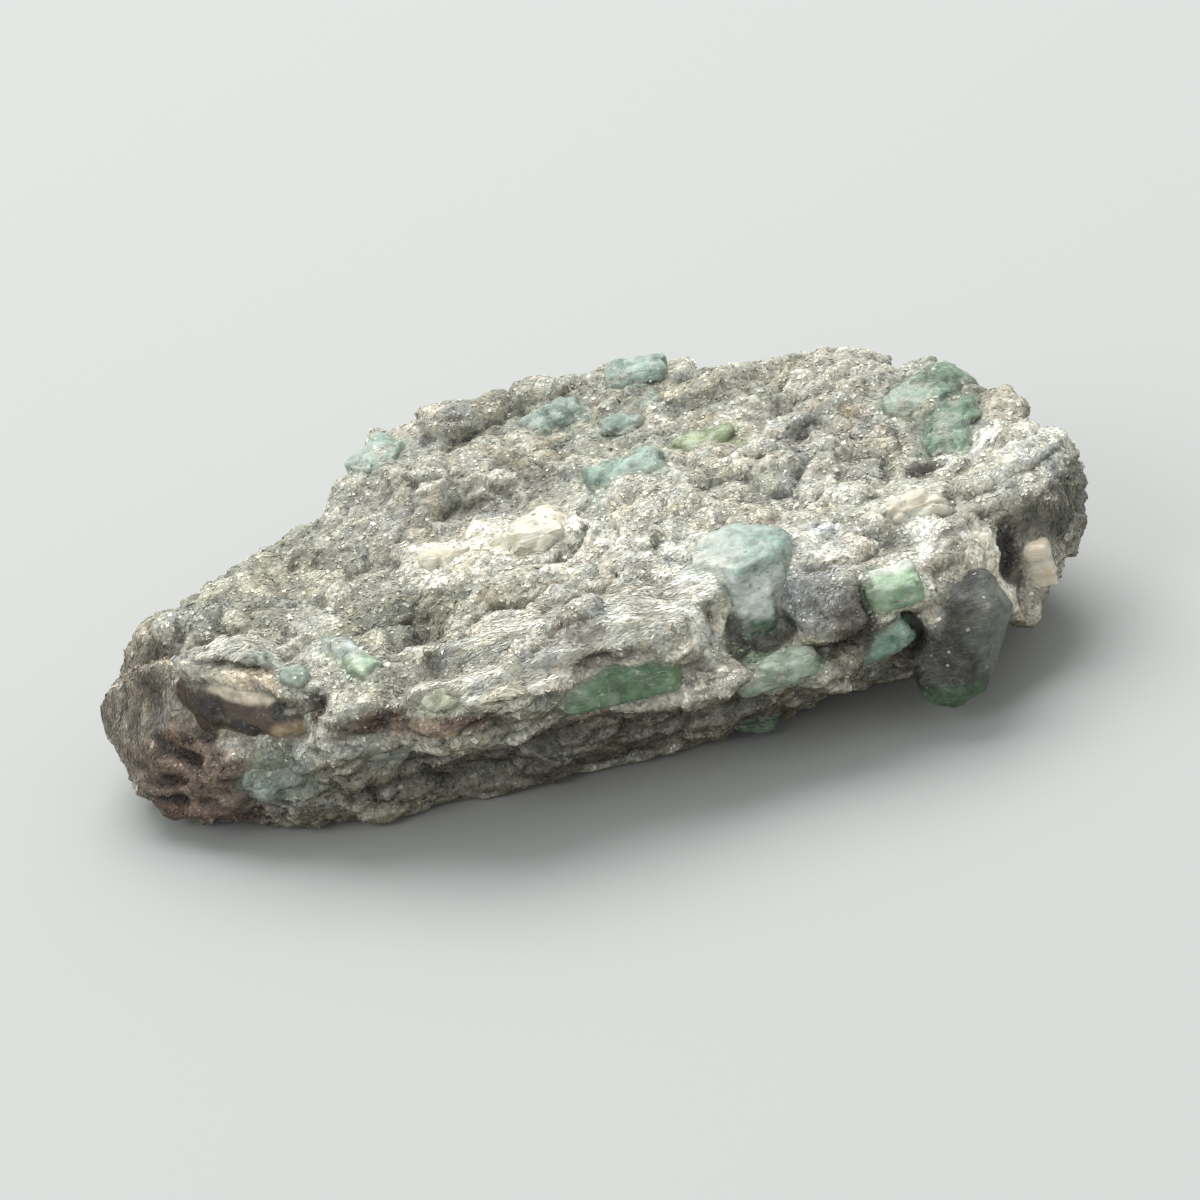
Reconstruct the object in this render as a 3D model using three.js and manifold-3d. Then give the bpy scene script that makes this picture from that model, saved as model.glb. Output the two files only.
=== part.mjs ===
// Emerald in matrix: a palm-sized chunk of silvery mica schist, split along its layers,
// with green beryl crystals, a smoky quartz lens and pale feldspar plates grown in it.
//
// Millimetres, +Z up. +X runs along the chunk, from its rounded left end to its thick
// right end, and +Y points to the back. The origin is under the middle, on the plane
// that the chunk rests on.

import * as THREE from 'three';
import { ConvexGeometry } from 'three/addons/geometries/ConvexGeometry.js';
import { mergeVertices } from 'three/addons/utils/BufferGeometryUtils.js';
import Module from 'manifold-3d';

const wasm = await Module();
wasm.setup();

// Driving dimensions

const GAP = 0.3; // room between a crystal and the wall of its socket
const ROCK_DETAIL = 16; // subdivisions of the rock's mesh
const SPREAD_ROUNDS = 8; // passes that even out the rock's facets
const SPREAD_HOLD = 0.4; // share of its place that a corner keeps in each of those passes
const MARCH_STEP = 0.3; // shortest step of the search for the rock's surface
const MARCH_REACH = 26; // farthest that the search goes
const BISECTIONS = 12; // halvings that settle the surface once it has been passed
const BASE_SNAP = 0.01; // points this near the resting plane lie on it
const END_STEEPNESS = 4; // how fast the field rises past the first and last section
const RELIEF_REACH = 3; // the relief matters only this near the surface

// How much more than the gap a socket's corners move out, so that its walls keep the gap
const CRYSTAL_GROWTH = 1.15;
const PLATE_GROWTH = 1.9;
const LENS_GROWTH = 1.3;

// A flat ellipsoid well inside the rock. The rock's surface is found outward from it.
const CORE = { centre: [-0.5, -1.5, 6.6], half: [24, 13, 2.4] };

// Cross-sections from the left end to the right end. The nine corners of each, as
// [y, z], go round from the foot of the front: front foot, undercut, lip, crest,
// hollow behind the crest, middle of the top, back edge, back, back foot.
const SECTIONS = [
  { x: -31.5, corners: [[-4.6, 4.6], [-5.6, 5.0], [-6.4, 6.2], [-6.0, 7.4], [-4.8, 7.9],
    [-3.8, 7.7], [-3.0, 7.0], [-2.8, 5.8], [-3.6, 4.9]] },
  { x: -29.9, corners: [[-4.6, 1.9], [-7.4, 3.2], [-8.8, 6.2], [-7.2, 8.6], [-4.4, 8.9],
    [-2.2, 8.6], [-0.2, 7.8], [1.4, 5.6], [-0.8, 1.9]] },
  { x: -26.5, corners: [[-8.2, 0.0], [-10.8, 3.0], [-11.7, 6.4], [-8.9, 10.1], [-5.0, 10.0],
    [-1.2, 9.7], [2.8, 8.8], [5.8, 5.6], [3.0, 0.0]] },
  { x: -22.0, corners: [[-11.0, -1.2], [-13.9, 3.8], [-14.0, 7.0], [-12.4, 11.5], [-7.4, 10.9],
    [-1.4, 10.6], [4.6, 9.8], [9.4, 5.8], [6.4, -1.2]] },
  { x: -17.0, corners: [[-11.9, -1.2], [-15.0, 4.4], [-17.2, 8.2], [-17.7, 11.6], [-10.6, 11.1],
    [-2.4, 11.6], [7.6, 11.6], [12.4, 6.2], [9.0, -1.2]] },
  { x: -12.0, corners: [[-11.2, -1.2], [-15.2, 4.9], [-18.8, 8.7], [-19.4, 11.7], [-8.8, 10.8],
    [0.4, 12.5], [14.6, 13.0], [17.0, 7.0], [12.4, -1.2]] },
  { x: -6.0, corners: [[-11.6, -1.2], [-15.4, 4.9], [-19.0, 8.5], [-19.6, 11.6], [-9.6, 11.4],
    [1.0, 12.8], [16.4, 13.0], [18.8, 7.0], [14.6, -1.2]] },
  { x: 0.0, corners: [[-12.4, -1.2], [-15.4, 4.5], [-19.2, 8.0], [-18.2, 12.1], [-10.6, 12.3],
    [1.0, 12.9], [16.8, 13.4], [19.6, 7.0], [15.2, -1.2]] },
  { x: 5.0, corners: [[-11.5, -1.2], [-15.0, 4.4], [-19.1, 7.9], [-14.8, 12.8], [-8.4, 13.0],
    [2.0, 13.0], [15.8, 14.0], [18.8, 7.2], [14.6, -1.2]] },
  { x: 9.2, corners: [[-11.4, -1.2], [-14.8, 4.2], [-18.6, 7.4], [-15.0, 12.9], [-8.4, 12.9],
    [2.0, 12.9], [13.8, 13.7], [17.4, 7.2], [13.4, -1.2]] },
  { x: 11.0, corners: [[-7.6, -1.2], [-14.2, 4.0], [-17.9, 7.0], [-15.2, 12.5], [-8.4, 12.8],
    [1.2, 12.8], [13.2, 13.5], [16.8, 7.2], [12.8, -1.2]] },
  { x: 15.0, corners: [[-6.6, -1.2], [-13.9, 4.0], [-17.0, 6.4], [-15.0, 11.9], [-8.4, 12.4],
    [0.2, 12.6], [12.2, 13.5], [15.8, 7.2], [11.6, -1.2]] },
  { x: 20.0, corners: [[-6.2, -1.2], [-13.6, 4.2], [-15.8, 7.2], [-14.0, 11.4], [-8.4, 12.2],
    [0.0, 12.6], [10.6, 13.7], [14.2, 7.4], [9.6, -1.2]] },
  { x: 24.4, corners: [[-5.0, 0.6], [-11.6, 4.2], [-14.6, 6.6], [-12.4, 10.6], [-8.0, 12.0],
    [0.0, 12.6], [8.0, 13.3], [11.2, 7.6], [6.4, 0.6]] },
  { x: 28.2, corners: [[-3.6, 2.6], [-6.6, 4.8], [-9.2, 8.0], [-9.4, 11.2], [-6.0, 12.2],
    [-2.4, 12.5], [1.4, 12.3], [3.8, 7.8], [0.6, 2.6]] },
  { x: 30.2, corners: [[-5.0, 6.4], [-6.2, 6.9], [-7.4, 8.2], [-7.2, 9.8], [-6.2, 10.5],
    [-4.8, 10.6], [-3.6, 10.0], [-3.2, 8.2], [-4.2, 6.8]] },
];

// Knobs that stand out of the sections: middle, half sizes and turn about Z in degrees.
const KNOBS = [
  { name: 'boulder on the front edge', at: [13.5, -14.7, 10.2], half: [2.9, 2.7, 2.9], turn: 10 },
  { name: 'foot of the boulder', at: [12.6, -15.2, 6.8], half: [2.6, 2.3, 2.2], turn: 0 },
  { name: 'mica cap over the front lens', at: [3.6, -16.9, 11.3], half: [3.4, 1.9, 1.3], turn: 16 },
  { name: 'front ridge, left run', at: [-10.4, -18.0, 11.0], half: [7.4, 1.7, 1.3], turn: -2 },
  { name: 'front ridge, right run', at: [2.4, -14.6, 12.4], half: [6.4, 1.4, 1.2], turn: 24 },
  { name: 'ridge behind the front ridge', at: [-4.6, -13.4, 11.9], half: [8.4, 1.1, 1.2], turn: 18 },
  { name: 'brow over the quartz lens', at: [-21.4, -10.6, 11.7], half: [5.6, 1.6, 1.1], turn: -36 },
  { name: 'hump of the left end', at: [-22.0, -1.5, 9.9], half: [5.2, 4.4, 1.7], turn: 10 },
  { name: 'left end cheek', at: [-28.6, -5.4, 6.2], half: [2.2, 3.2, 3.4], turn: -20 },
  { name: 'chunk on the right', at: [26.0, -5.2, 10.6], half: [4.0, 4.8, 2.6], turn: -18 },
  { name: 'slope right of the dark prism', at: [23.2, -12.9, 7.6], half: [2.2, 2.2, 2.8], turn: 0 },
  { name: 'lobe under the chunk', at: [25.9, -11.4, 4.8], half: [2.7, 2.7, 2.5], turn: 0 },
  { name: 'bump of the back edge', at: [5.4, 14.2, 12.5], half: [4.2, 2.6, 1.7], turn: 0 },
  { name: 'swell beside the mid patch', at: [-3.6, 6.4, 12.4], half: [5.0, 2.8, 1.3], turn: 24 },
  { name: 'swell behind the left plate', at: [-9.6, 5.4, 12.2], half: [3.4, 2.2, 1.6], turn: -12 },
  { name: 'swell behind the ridge prism', at: [13.6, -2.6, 12.3], half: [5.4, 2.6, 1.5], turn: 8 },
  { name: 'nub at the back of the middle', at: [11.6, 8.6, 12.9], half: [3.0, 2.2, 1.6], turn: -30 },
  { name: 'lump at the back of the right end', at: [17.6, 7.0, 12.6], half: [3.4, 2.6, 1.3], turn: -20 },
  { name: 'fold under the left end', at: [-24.6, -10.8, 3.4], half: [4.4, 1.9, 1.5], turn: -30 },
  { name: 'bulge of the back', at: [7.0, 18.0, 6.4], half: [7.0, 2.4, 3.0], turn: -6 },
  { name: 'shelf of the left back', at: [-17.0, 11.0, 5.0], half: [5.6, 2.4, 1.8], turn: 24 },
  { name: 'shelf of the right back', at: [20.0, 13.4, 4.2], half: [5.4, 2.2, 1.7], turn: -26 },
];

// Hollows cut into the rock, in the same form.
const HOLLOWS = [
  { name: 'valley behind the ridge', at: [-12.4, -9.4, 12.7], half: [6.2, 2.5, 2.2], turn: 14 },
  { name: 'valley beside the mid plate', at: [-5.0, -9.4, 13.4], half: [5.4, 1.6, 1.7], turn: 18 },
  { name: 'scoop in front of the ridge prism', at: [9.2, -18.6, 10.9], half: [2.6, 3.5, 3.4], turn: 0 },
  { name: 'crevice left of the ridge prism', at: [7.5, -16.9, 8.8], half: [0.7, 2.0, 1.0], turn: 20 },
  { name: 'notch under the boulder', at: [13.2, -19.0, 6.8], half: [1.2, 1.9, 1.1], turn: 0 },
  { name: 'recess of the teal piece', at: [16.2, -17.6, 7.0], half: [2.3, 2.6, 1.7], turn: 0 },
  { name: 'slot beside the mint block', at: [15.2, -17.4, 10.2], half: [0.8, 1.9, 1.9], turn: 0 },
  { name: 'cavity of the quartz lens', at: [-23.0, -13.3, 8.6], half: [5.6, 2.5, 2.7], turn: -40 },
  { name: 'pit of the right top', at: [21.0, -4.6, 13.4], half: [1.3, 1.1, 1.9], turn: 0 },
  { name: 'cleft below the chunk', at: [26.0, -12.2, 9.4], half: [3.3, 2.6, 1.5], turn: -30 },
  { name: 'cleft left of the lobe', at: [25.5, -14.0, 6.9], half: [0.8, 1.7, 1.4], turn: -20 },
  { name: 'step behind the left end', at: [-20.6, 9.8, 13.2], half: [5.0, 5.6, 3.2], turn: -20 },
  { name: 'gully of the left top', at: [-17.4, -3.6, 12.6], half: [1.6, 4.6, 1.5], turn: -14 },
  { name: 'gully of the right top', at: [16.6, 2.8, 14.0], half: [5.0, 1.4, 1.6], turn: 16 },
  { name: 'scar of the back face', at: [-4.0, 21.2, 5.0], half: [7.6, 2.4, 4.0], turn: 4 },
  { name: 'scar of the back right', at: [22.4, 15.2, 9.4], half: [5.0, 2.4, 4.0], turn: -30 },
  { name: 'dent of the back edge', at: [11.4, 16.4, 14.6], half: [3.0, 2.4, 2.2], turn: 0 },
];

// Relief of the weathered layers: size of its lumps along X, Y and Z, and its height.
const RELIEF = [
  { size: [7.0, 4.6, 3.4], height: 0.95, seed: 3 },
  { size: [2.6, 1.9, 1.5], height: 0.46, seed: 29 },
];
const NODULES = { size: [4.3, 3.3, 2.8], height: 1.7, seed: 11 };
const LAYERS = { spacing: 2.1, height: 0.34, dip: [0.05, 0.16], wander: 0.9, seed: 7 };

const KNOB_BLEND = 1.1;
const HOLLOW_BLEND = 0.7;

// Beryl crystals. Each is a six-sided prism along its axis. Width is across the corners,
// flat squeezes the prism's height, roll turns its faces about the axis in degrees, tip is
// how much of each end narrows to a point, and lean skews its ends.
const BERYL = {
  bright: { color: 0x5f8a63, roughness: 0.28 },
  pale: { color: 0xa9c9b6, roughness: 0.42 },
  mint: { color: 0x9fd0a0, roughness: 0.38 },
  teal: { color: 0x6f9488, roughness: 0.4 },
  dark: { color: 0x4b4f49, roughness: 0.34 },
  olive: { color: 0x98a878, roughness: 0.45 },
};

// Ranges of the chances that make each crystal its own: girth of its corners, how much of
// its tip counts, and how far its corners turn from an even hexagon, in degrees.
const CORNER_GIRTH = [0.9, 1.08];
const TIP_CHANCE = [0.7, 1.3];
const CORNER_TURN = 14;
const END_TWIST = 1.9; // turn between the ways that the two ends lean, in radians

const CRYSTALS = [
  { name: 'emerald_front_lens', tone: 'bright', parts: [
    { at: [0.2, -16.9, 9.2], axis: [1, 0, 0.03], length: 9.0, width: 4.3, flat: 0.95, roll: 30,
      tip: 0.62, lean: 0.02, seed: 1 }] },
  { name: 'emerald_ridge_prism', tone: 'pale', parts: [
    { at: [9.0, -12.0, 10.2], axis: [-0.1, -0.14, 1], length: 7.4, width: 6.8, flat: 0.9, roll: 12,
      tip: 0.1, lean: 0.08, seed: 2 }] },
  { name: 'emerald_mint_block', tone: 'mint', parts: [
    { at: [17.1, -14.6, 10.1], axis: [1, 0.04, 0.02], length: 3.4, width: 3.5, flat: 0.85, roll: 30,
      tip: 0.16, lean: 0.08, seed: 3 }] },
  { name: 'emerald_teal_piece', tone: 'teal', parts: [
    { at: [15.7, -14.5, 7.1], axis: [1, 0, 0.3], length: 4.2, width: 3.9, flat: 0.8, roll: 0,
      tip: 0.3, lean: 0.1, seed: 4 }] },
  { name: 'emerald_dark_prism', tone: 'dark', parts: [
    { at: [20.6, -14.7, 5.9], axis: [0.52, 0.12, 1], length: 8.6, width: 5.2, flat: 0.94, roll: 57,
      tip: 0.68, lean: 0.14, seed: 5 }] },
  { name: 'emerald_ledge_sliver', tone: 'pale', parts: [
    { at: [9.5, -16.8, 7.2], axis: [1, 0, 0.1], length: 5.6, width: 2.8, flat: 0.8, roll: 30,
      tip: 0.45, lean: 0.1, seed: 6 }] },
  { name: 'emerald_underside_end', tone: 'bright', parts: [
    { at: [7.9, -11.4, 2.1], axis: [1, -0.1, 0.05], length: 3.2, width: 3.4, flat: 1, roll: 0,
      tip: 0.15, lean: 0.1, seed: 7 }] },
  { name: 'emerald_back_cluster', tone: 'bright', parts: [
    { at: [22.6, 4.2, 12.5], axis: [0.9, 0.42, 0.12], length: 6.6, width: 4.8, flat: 0.7, roll: 20,
      tip: 0.34, lean: 0.14, seed: 8 },
    { at: [23.5, -0.2, 11.8], axis: [0.25, 0.95, 0.08], length: 6.8, width: 4.6, flat: 0.6, roll: 5,
      tip: 0.34, lean: 0.14, seed: 9 }] },
  { name: 'emerald_mid_patch', tone: 'mint', parts: [
    { at: [3.0, 1.6, 12.65], axis: [0.95, 0.28, 0.05], length: 5.6, width: 4.3, flat: 0.5, roll: 0,
      tip: 0.45, lean: 0.12, seed: 10 }] },
  { name: 'emerald_back_left', tone: 'teal', parts: [
    { at: [-0.2, 11.2, 12.7], axis: [0.8, 0.55, 0.08], length: 5.4, width: 4.0, flat: 0.55, roll: 10,
      tip: 0.4, lean: 0.12, seed: 11 }] },
  { name: 'emerald_back_edge', tone: 'pale', parts: [
    { at: [5.2, 14.0, 13.3], axis: [1, -0.2, 0.1], length: 4.8, width: 4.0, flat: 0.6, roll: 0,
      tip: 0.4, lean: 0.12, seed: 12 }] },
  { name: 'emerald_olive_flat', tone: 'olive', parts: [
    { at: [8.5, 4.4, 12.5], axis: [1, 0.12, 0.02], length: 4.2, width: 2.9, flat: 0.55, roll: 0,
      tip: 0.4, lean: 0.12, seed: 13 }] },
  { name: 'emerald_plateau_grain', tone: 'teal', parts: [
    { at: [3.5, 8.0, 12.9], axis: [0.9, -0.3, 0.1], length: 3.4, width: 2.7, flat: 0.6, roll: 15,
      tip: 0.35, lean: 0.12, seed: 14 }] },
  { name: 'emerald_corner', tone: 'pale', parts: [
    { at: [-11.9, 11.8, 12.5], axis: [0.7, 0.6, 0.06], length: 4.8, width: 3.8, flat: 0.6, roll: 5,
      tip: 0.4, lean: 0.12, seed: 15 }] },
  { name: 'emerald_leaf', tone: 'mint', parts: [
    { at: [-15.2, -11.9, 10.9], axis: [0.38, -0.92, 0.03], length: 6.8, width: 2.5, flat: 0.7, roll: 0,
      tip: 0.7, lean: 0.06, seed: 16 }] },
  { name: 'emerald_brow_grain', tone: 'teal', parts: [
    { at: [-18.7, -13.3, 11.6], axis: [0.7, -0.7, -0.1], length: 2.6, width: 1.9, flat: 0.9, roll: 0,
      tip: 0.4, lean: 0.12, seed: 17 }] },
  { name: 'emerald_crest_grain', tone: 'olive', parts: [
    { at: [-10.1, -18.7, 10.8], axis: [1, 0.1, 0.05], length: 2.4, width: 1.6, flat: 0.9, roll: 0,
      tip: 0.4, lean: 0.12, seed: 18 }] },
  { name: 'emerald_left_band', tone: 'teal', parts: [
    { at: [-12.4, -15.3, 6.8], axis: [1, 0.02, 0.06], length: 6.8, width: 2.8, flat: 0.8, roll: 0,
      tip: 0.5, lean: 0.12, seed: 19 }] },
  { name: 'emerald_lower_left', tone: 'teal', parts: [
    { at: [-21.0, -13.4, 5.2], axis: [0.9, -0.3, 0.1], length: 4.4, width: 3.2, flat: 0.9, roll: 10,
      tip: 0.4, lean: 0.12, seed: 20 }] },
];

// Pale minerals. Plates are feldspar blocks bounded by cleavage planes; the lens is quartz.
const PALE_MINERALS = [
  { name: 'feldspar_mid_plate', at: [-2.6, -3.1, 12.5], size: [5.8, 4.2, 1.6], turn: 18, seed: 31 },
  { name: 'feldspar_left_plate', at: [-9.0, -2.8, 12.0], size: [4.4, 3.6, 1.4], turn: 12, seed: 32 },
  { name: 'feldspar_right_plate', at: [19.6, -8.8, 12.0], size: [4.8, 3.2, 1.3], turn: 14, seed: 33 },
  { name: 'feldspar_recess_wedge', at: [26.4, -9.8, 7.1], size: [2.5, 2.4, 2.9], turn: -14, seed: 34 },
];
const PLATE_CHIP = 0.34; // most that a plate's corner is broken back, as a share
const PLATE_SLOPE = 0.8; // size of a plate's top beside its foot
const FELDSPAR_LOOK = { color: 0xdcd9c8, roughness: 0.5 };

const QUARTZ_LENS = {
  name: 'quartz_lens', at: [-21.9, -10.5, 8.7], half: [5.7, 2.5, 2.8], turn: -42, facets: 3, seed: 41,
};
const LENS_TIP = 0.25; // girth of the lens at its ends, beside its middle
const LENS_GIRTH = [0.88, 1.06]; // range of the girth of its corners
const LENS_SIDES = 8;
const QUARTZ_LOOK = { color: 0x8d8070, roughness: 0.32 };
const SCHIST_LOOK = { color: 0x8f8d80, roughness: 0.62, metalness: 0.15 };

const DEG = Math.PI / 180;

// Small numeric helpers

function mix(a, b, t) {
  return a + (b - a) * t;
}

function smoothstep(t) {
  return t * t * (3 - 2 * t);
}

// A repeatable value from 0 to 1 for a lattice point.
const HASH = { x: 374761393, y: 668265263, z: 2147483647, seed: 1274126177 };
function hash(x, y, z, seed) {
  let h = (x * HASH.x + y * HASH.y + z * HASH.z + seed * HASH.seed) | 0;
  h = Math.imul(h ^ (h >>> 13), HASH.seed);
  h ^= h >>> 16;
  return (h >>> 0) / 4294967295;
}

// Smooth noise from -1 to 1.
function noise(x, y, z, seed) {
  const i = Math.floor(x);
  const j = Math.floor(y);
  const k = Math.floor(z);
  const u = smoothstep(x - i);
  const v = smoothstep(y - j);
  const w = smoothstep(z - k);
  const row = (dj, dk) => mix(hash(i, j + dj, k + dk, seed), hash(i + 1, j + dj, k + dk, seed), u);
  return mix(mix(row(0, 0), row(1, 0), v), mix(row(0, 1), row(1, 1), v), w) * 2 - 1;
}

// Rounded nodules with creases between them: 1 in the middle of one, near 0 at a crease.
function nodules(x, y, z, seed) {
  const cell = [Math.floor(x), Math.floor(y), Math.floor(z)];
  let nearest = 1;
  for (let n = 0; n < 27; n += 1) {
    const i = cell[0] + (n % 3) - 1;
    const j = cell[1] + (Math.floor(n / 3) % 3) - 1;
    const k = cell[2] + Math.floor(n / 9) - 1;
    const dx = i + hash(i, j, k, seed) - x;
    const dy = j + hash(i, j, k, seed + 1) - y;
    const dz = k + hash(i, j, k, seed + 2) - z;
    nearest = Math.min(nearest, dx * dx + dy * dy + dz * dz);
  }
  return 1 - Math.sqrt(nearest);
}

// Ledges where the rock parts along its layers.
function layers(x, y, z) {
  const { spacing, dip, wander, seed } = LAYERS;
  const level = z + dip[0] * x + dip[1] * y + wander * noise(x / 9, y / 9, z / 5, seed);
  const phase = level / spacing - Math.floor(level / spacing);
  return phase < 0.7 ? phase / 0.7 : (1 - phase) / 0.3;
}

// Blends two field values with a rounded joint: the smaller one wins.
function smoothMin(a, b, radius) {
  const h = Math.max(radius - Math.abs(a - b), 0) / radius;
  return Math.min(a, b) - h * h * radius * 0.25;
}

// The rock as a field: negative inside, positive outside, in about millimetres

function sectionAt(x) {
  let i = 0;
  while (i < SECTIONS.length - 2 && x > SECTIONS[i + 1].x) i += 1;
  const left = SECTIONS[i];
  const right = SECTIONS[i + 1];
  const t = Math.min(Math.max((x - left.x) / (right.x - left.x), 0), 1);
  return left.corners.map(([y, z], k) => [mix(y, right.corners[k][0], t), mix(z, right.corners[k][1], t)]);
}

function polygonDistance(y, z, corners) {
  let nearest = Infinity;
  let inside = false;
  for (let i = 0, j = corners.length - 1; i < corners.length; j = i, i += 1) {
    const [y0, z0] = corners[j];
    const [y1, z1] = corners[i];
    const dy = y1 - y0;
    const dz = z1 - z0;
    const t = Math.min(Math.max(((y - y0) * dy + (z - z0) * dz) / (dy * dy + dz * dz), 0), 1);
    nearest = Math.min(nearest, Math.hypot(y - y0 - t * dy, z - z0 - t * dz));
    if ((z0 > z) !== (z1 > z) && y < y0 + (dy * (z - z0)) / dz) inside = !inside;
  }
  return inside ? -nearest : nearest;
}

function ellipsoidDistance(x, y, z, { at, half, turn }) {
  const c = Math.cos(turn * DEG);
  const s = Math.sin(turn * DEG);
  const dx = x - at[0];
  const dy = y - at[1];
  const u = (c * dx + s * dy) / half[0];
  const v = (c * dy - s * dx) / half[1];
  const w = (z - at[2]) / half[2];
  return (Math.hypot(u, v, w) - 1) * Math.min(...half);
}

function rockField(x, y, z) {
  const first = SECTIONS[0].x;
  const last = SECTIONS[SECTIONS.length - 1].x;
  const past = Math.max(first - x, x - last, 0);
  let field = polygonDistance(y, z, sectionAt(x)) + past * END_STEEPNESS;
  for (const knob of KNOBS) field = smoothMin(field, ellipsoidDistance(x, y, z, knob), KNOB_BLEND);
  for (const hollow of HOLLOWS) {
    field = -smoothMin(-field, ellipsoidDistance(x, y, z, hollow), HOLLOW_BLEND);
  }
  if (Math.abs(field) > RELIEF_REACH) return Math.max(field, -z);
  for (const { size, height, seed } of RELIEF) {
    field -= height * noise(x / size[0], y / size[1], z / size[2], seed);
  }
  const { size, height, seed } = NODULES;
  field -= height * (nodules(x / size[0], y / size[1], z / size[2], seed) - 0.5);
  field -= LAYERS.height * (layers(x, y, z) - 0.5);
  return Math.max(field, -z);
}

// The rock's surface, found from the core outward along the core's own normals

function surfacePoint(direction) {
  const [a, b, c] = CORE.half;
  const start = new THREE.Vector3(a * direction.x, b * direction.y, c * direction.z)
    .add(new THREE.Vector3(...CORE.centre));
  const out = new THREE.Vector3(direction.x / a, direction.y / b, direction.z / c).normalize();
  const fieldAt = (d) => rockField(start.x + out.x * d, start.y + out.y * d, start.z + out.z * d);
  let near = 0;
  let far = 0;
  for (let field = fieldAt(0); field < 0 && far < MARCH_REACH; field = fieldAt(far)) {
    near = far;
    far += Math.max(MARCH_STEP, -field * 0.5);
  }
  for (let i = 0; i < BISECTIONS; i += 1) {
    const middle = (near + far) / 2;
    if (fieldAt(middle) < 0) near = middle;
    else far = middle;
  }
  return start.addScaledVector(out, near);
}

function neighboursOf(index, count) {
  const sets = Array.from({ length: count }, () => new Set());
  for (let i = 0; i < index.length; i += 3) {
    for (let k = 0; k < 3; k += 1) {
      sets[index[i + k]].add(index[i + ((k + 1) % 3)]);
      sets[index[i + k]].add(index[i + ((k + 2) % 3)]);
    }
  }
  return sets;
}

function rockGeometry() {
  const sphere = new THREE.IcosahedronGeometry(1, ROCK_DETAIL);
  sphere.deleteAttribute('normal');
  sphere.deleteAttribute('uv');
  const geometry = mergeVertices(sphere, 1e-5);
  const position = geometry.getAttribute('position');
  let directions = Array.from({ length: position.count }, (_, i) => (
    new THREE.Vector3().fromBufferAttribute(position, i).normalize()));
  const neighbours = neighboursOf(geometry.index.array, position.count);
  let points = directions.map(surfacePoint);
  for (let round = 0; round < SPREAD_ROUNDS; round += 1) {
    directions = directions.map((direction, i) => {
      const pull = new THREE.Vector3();
      for (const j of neighbours[i]) pull.addScaledVector(directions[j], points[i].distanceTo(points[j]));
      return pull.normalize().lerp(direction, SPREAD_HOLD).normalize();
    });
    points = directions.map(surfacePoint);
  }
  points.forEach((p, i) => position.setXYZ(i, p.x, p.y, p.z < BASE_SNAP ? 0 : p.z));
  return geometry;
}

// Solids of the crystals

function crystalCorners({ length, width, flat, roll, tip, lean, seed }, grow) {
  const corners = [];
  const wider = grow * CRYSTAL_GROWTH;
  const halfLength = length / 2 + grow;
  const ring = (along, reach, angle) => corners.push([
    along,
    (reach + wider) * Math.cos(angle),
    (reach * flat + wider) * Math.sin(angle),
  ]);
  for (const end of [-1, 1]) {
    const narrow = 1 - tip * mix(...TIP_CHANCE, hash(end + 1, 0, 0, seed));
    for (let side = 0; side < 6; side += 1) {
      const angle = (side * 60 + roll + CORNER_TURN * (hash(side, 1, 0, seed) - 0.5)) * DEG;
      const radius = (width / 2) * mix(...CORNER_GIRTH, hash(side, 2, 0, seed));
      const skew = lean * Math.cos(angle + end * END_TWIST) * halfLength;
      const shoulder = halfLength * (1 - tip / 2) + skew / 4;
      ring(shoulder * end, radius, angle);
      ring(halfLength * end + skew / 10, radius * narrow, angle);
    }
  }
  return corners;
}

// Turns the local frame, whose first axis is the crystal's own, to its place in the rock.
function placeAlong({ at, axis }) {
  const along = new THREE.Vector3(...axis).normalize();
  const up = Math.abs(along.z) > 0.9 ? new THREE.Vector3(0, 1, 0) : new THREE.Vector3(0, 0, 1);
  const side = new THREE.Vector3().crossVectors(up, along).normalize();
  const rise = new THREE.Vector3().crossVectors(along, side);
  return new THREE.Matrix4().makeBasis(along, side, rise).setPosition(...at);
}

function hullOf(corners, matrix) {
  const points = corners.map((corner) => new THREE.Vector3(...corner).applyMatrix4(matrix));
  return new ConvexGeometry(points);
}

function crystalHull(part, grow) {
  return hullOf(crystalCorners(part, grow), placeAlong(part));
}

function plateHull({ at, size, turn, seed }, grow) {
  const corners = [];
  for (const [i, sx] of [-1, 1].entries()) {
    for (const [j, sy] of [-1, 1].entries()) {
      for (const [k, sz] of [-1, 1].entries()) {
        const slope = k === 1 ? PLATE_SLOPE : 1;
        const chip = (n) => slope * (1 - PLATE_CHIP * hash(i * 4 + j * 2 + k, n, 1, seed));
        corners.push([
          sx * (size[0] / 2 + grow * PLATE_GROWTH) * chip(0),
          sy * (size[1] / 2 + grow * PLATE_GROWTH) * chip(1),
          sz * (size[2] / 2 + grow),
        ]);
      }
    }
  }
  return hullOf(corners, new THREE.Matrix4().makeRotationZ(turn * DEG).setPosition(...at));
}

function lensHull({ at, half, turn, facets, seed }, grow) {
  const corners = [];
  for (let ring = -facets; ring <= facets; ring += 1) {
    const along = Math.sin((ring / facets) * 90 * DEG);
    const girth = Math.sqrt(Math.max(1 - along * along, LENS_TIP ** 2));
    for (let side = 0; side < LENS_SIDES; side += 1) {
      const angle = (side * 360 * DEG) / LENS_SIDES;
      const rough = mix(...LENS_GIRTH, hash(ring + facets, side, 2, seed));
      corners.push([
        along * (half[0] + grow),
        girth * rough * (half[1] + grow * LENS_GROWTH) * Math.cos(angle),
        girth * rough * (half[2] + grow * LENS_GROWTH) * Math.sin(angle),
      ]);
    }
  }
  return hullOf(corners, new THREE.Matrix4().makeRotationZ(turn * DEG).setPosition(...at));
}

// Joining and cutting

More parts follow.
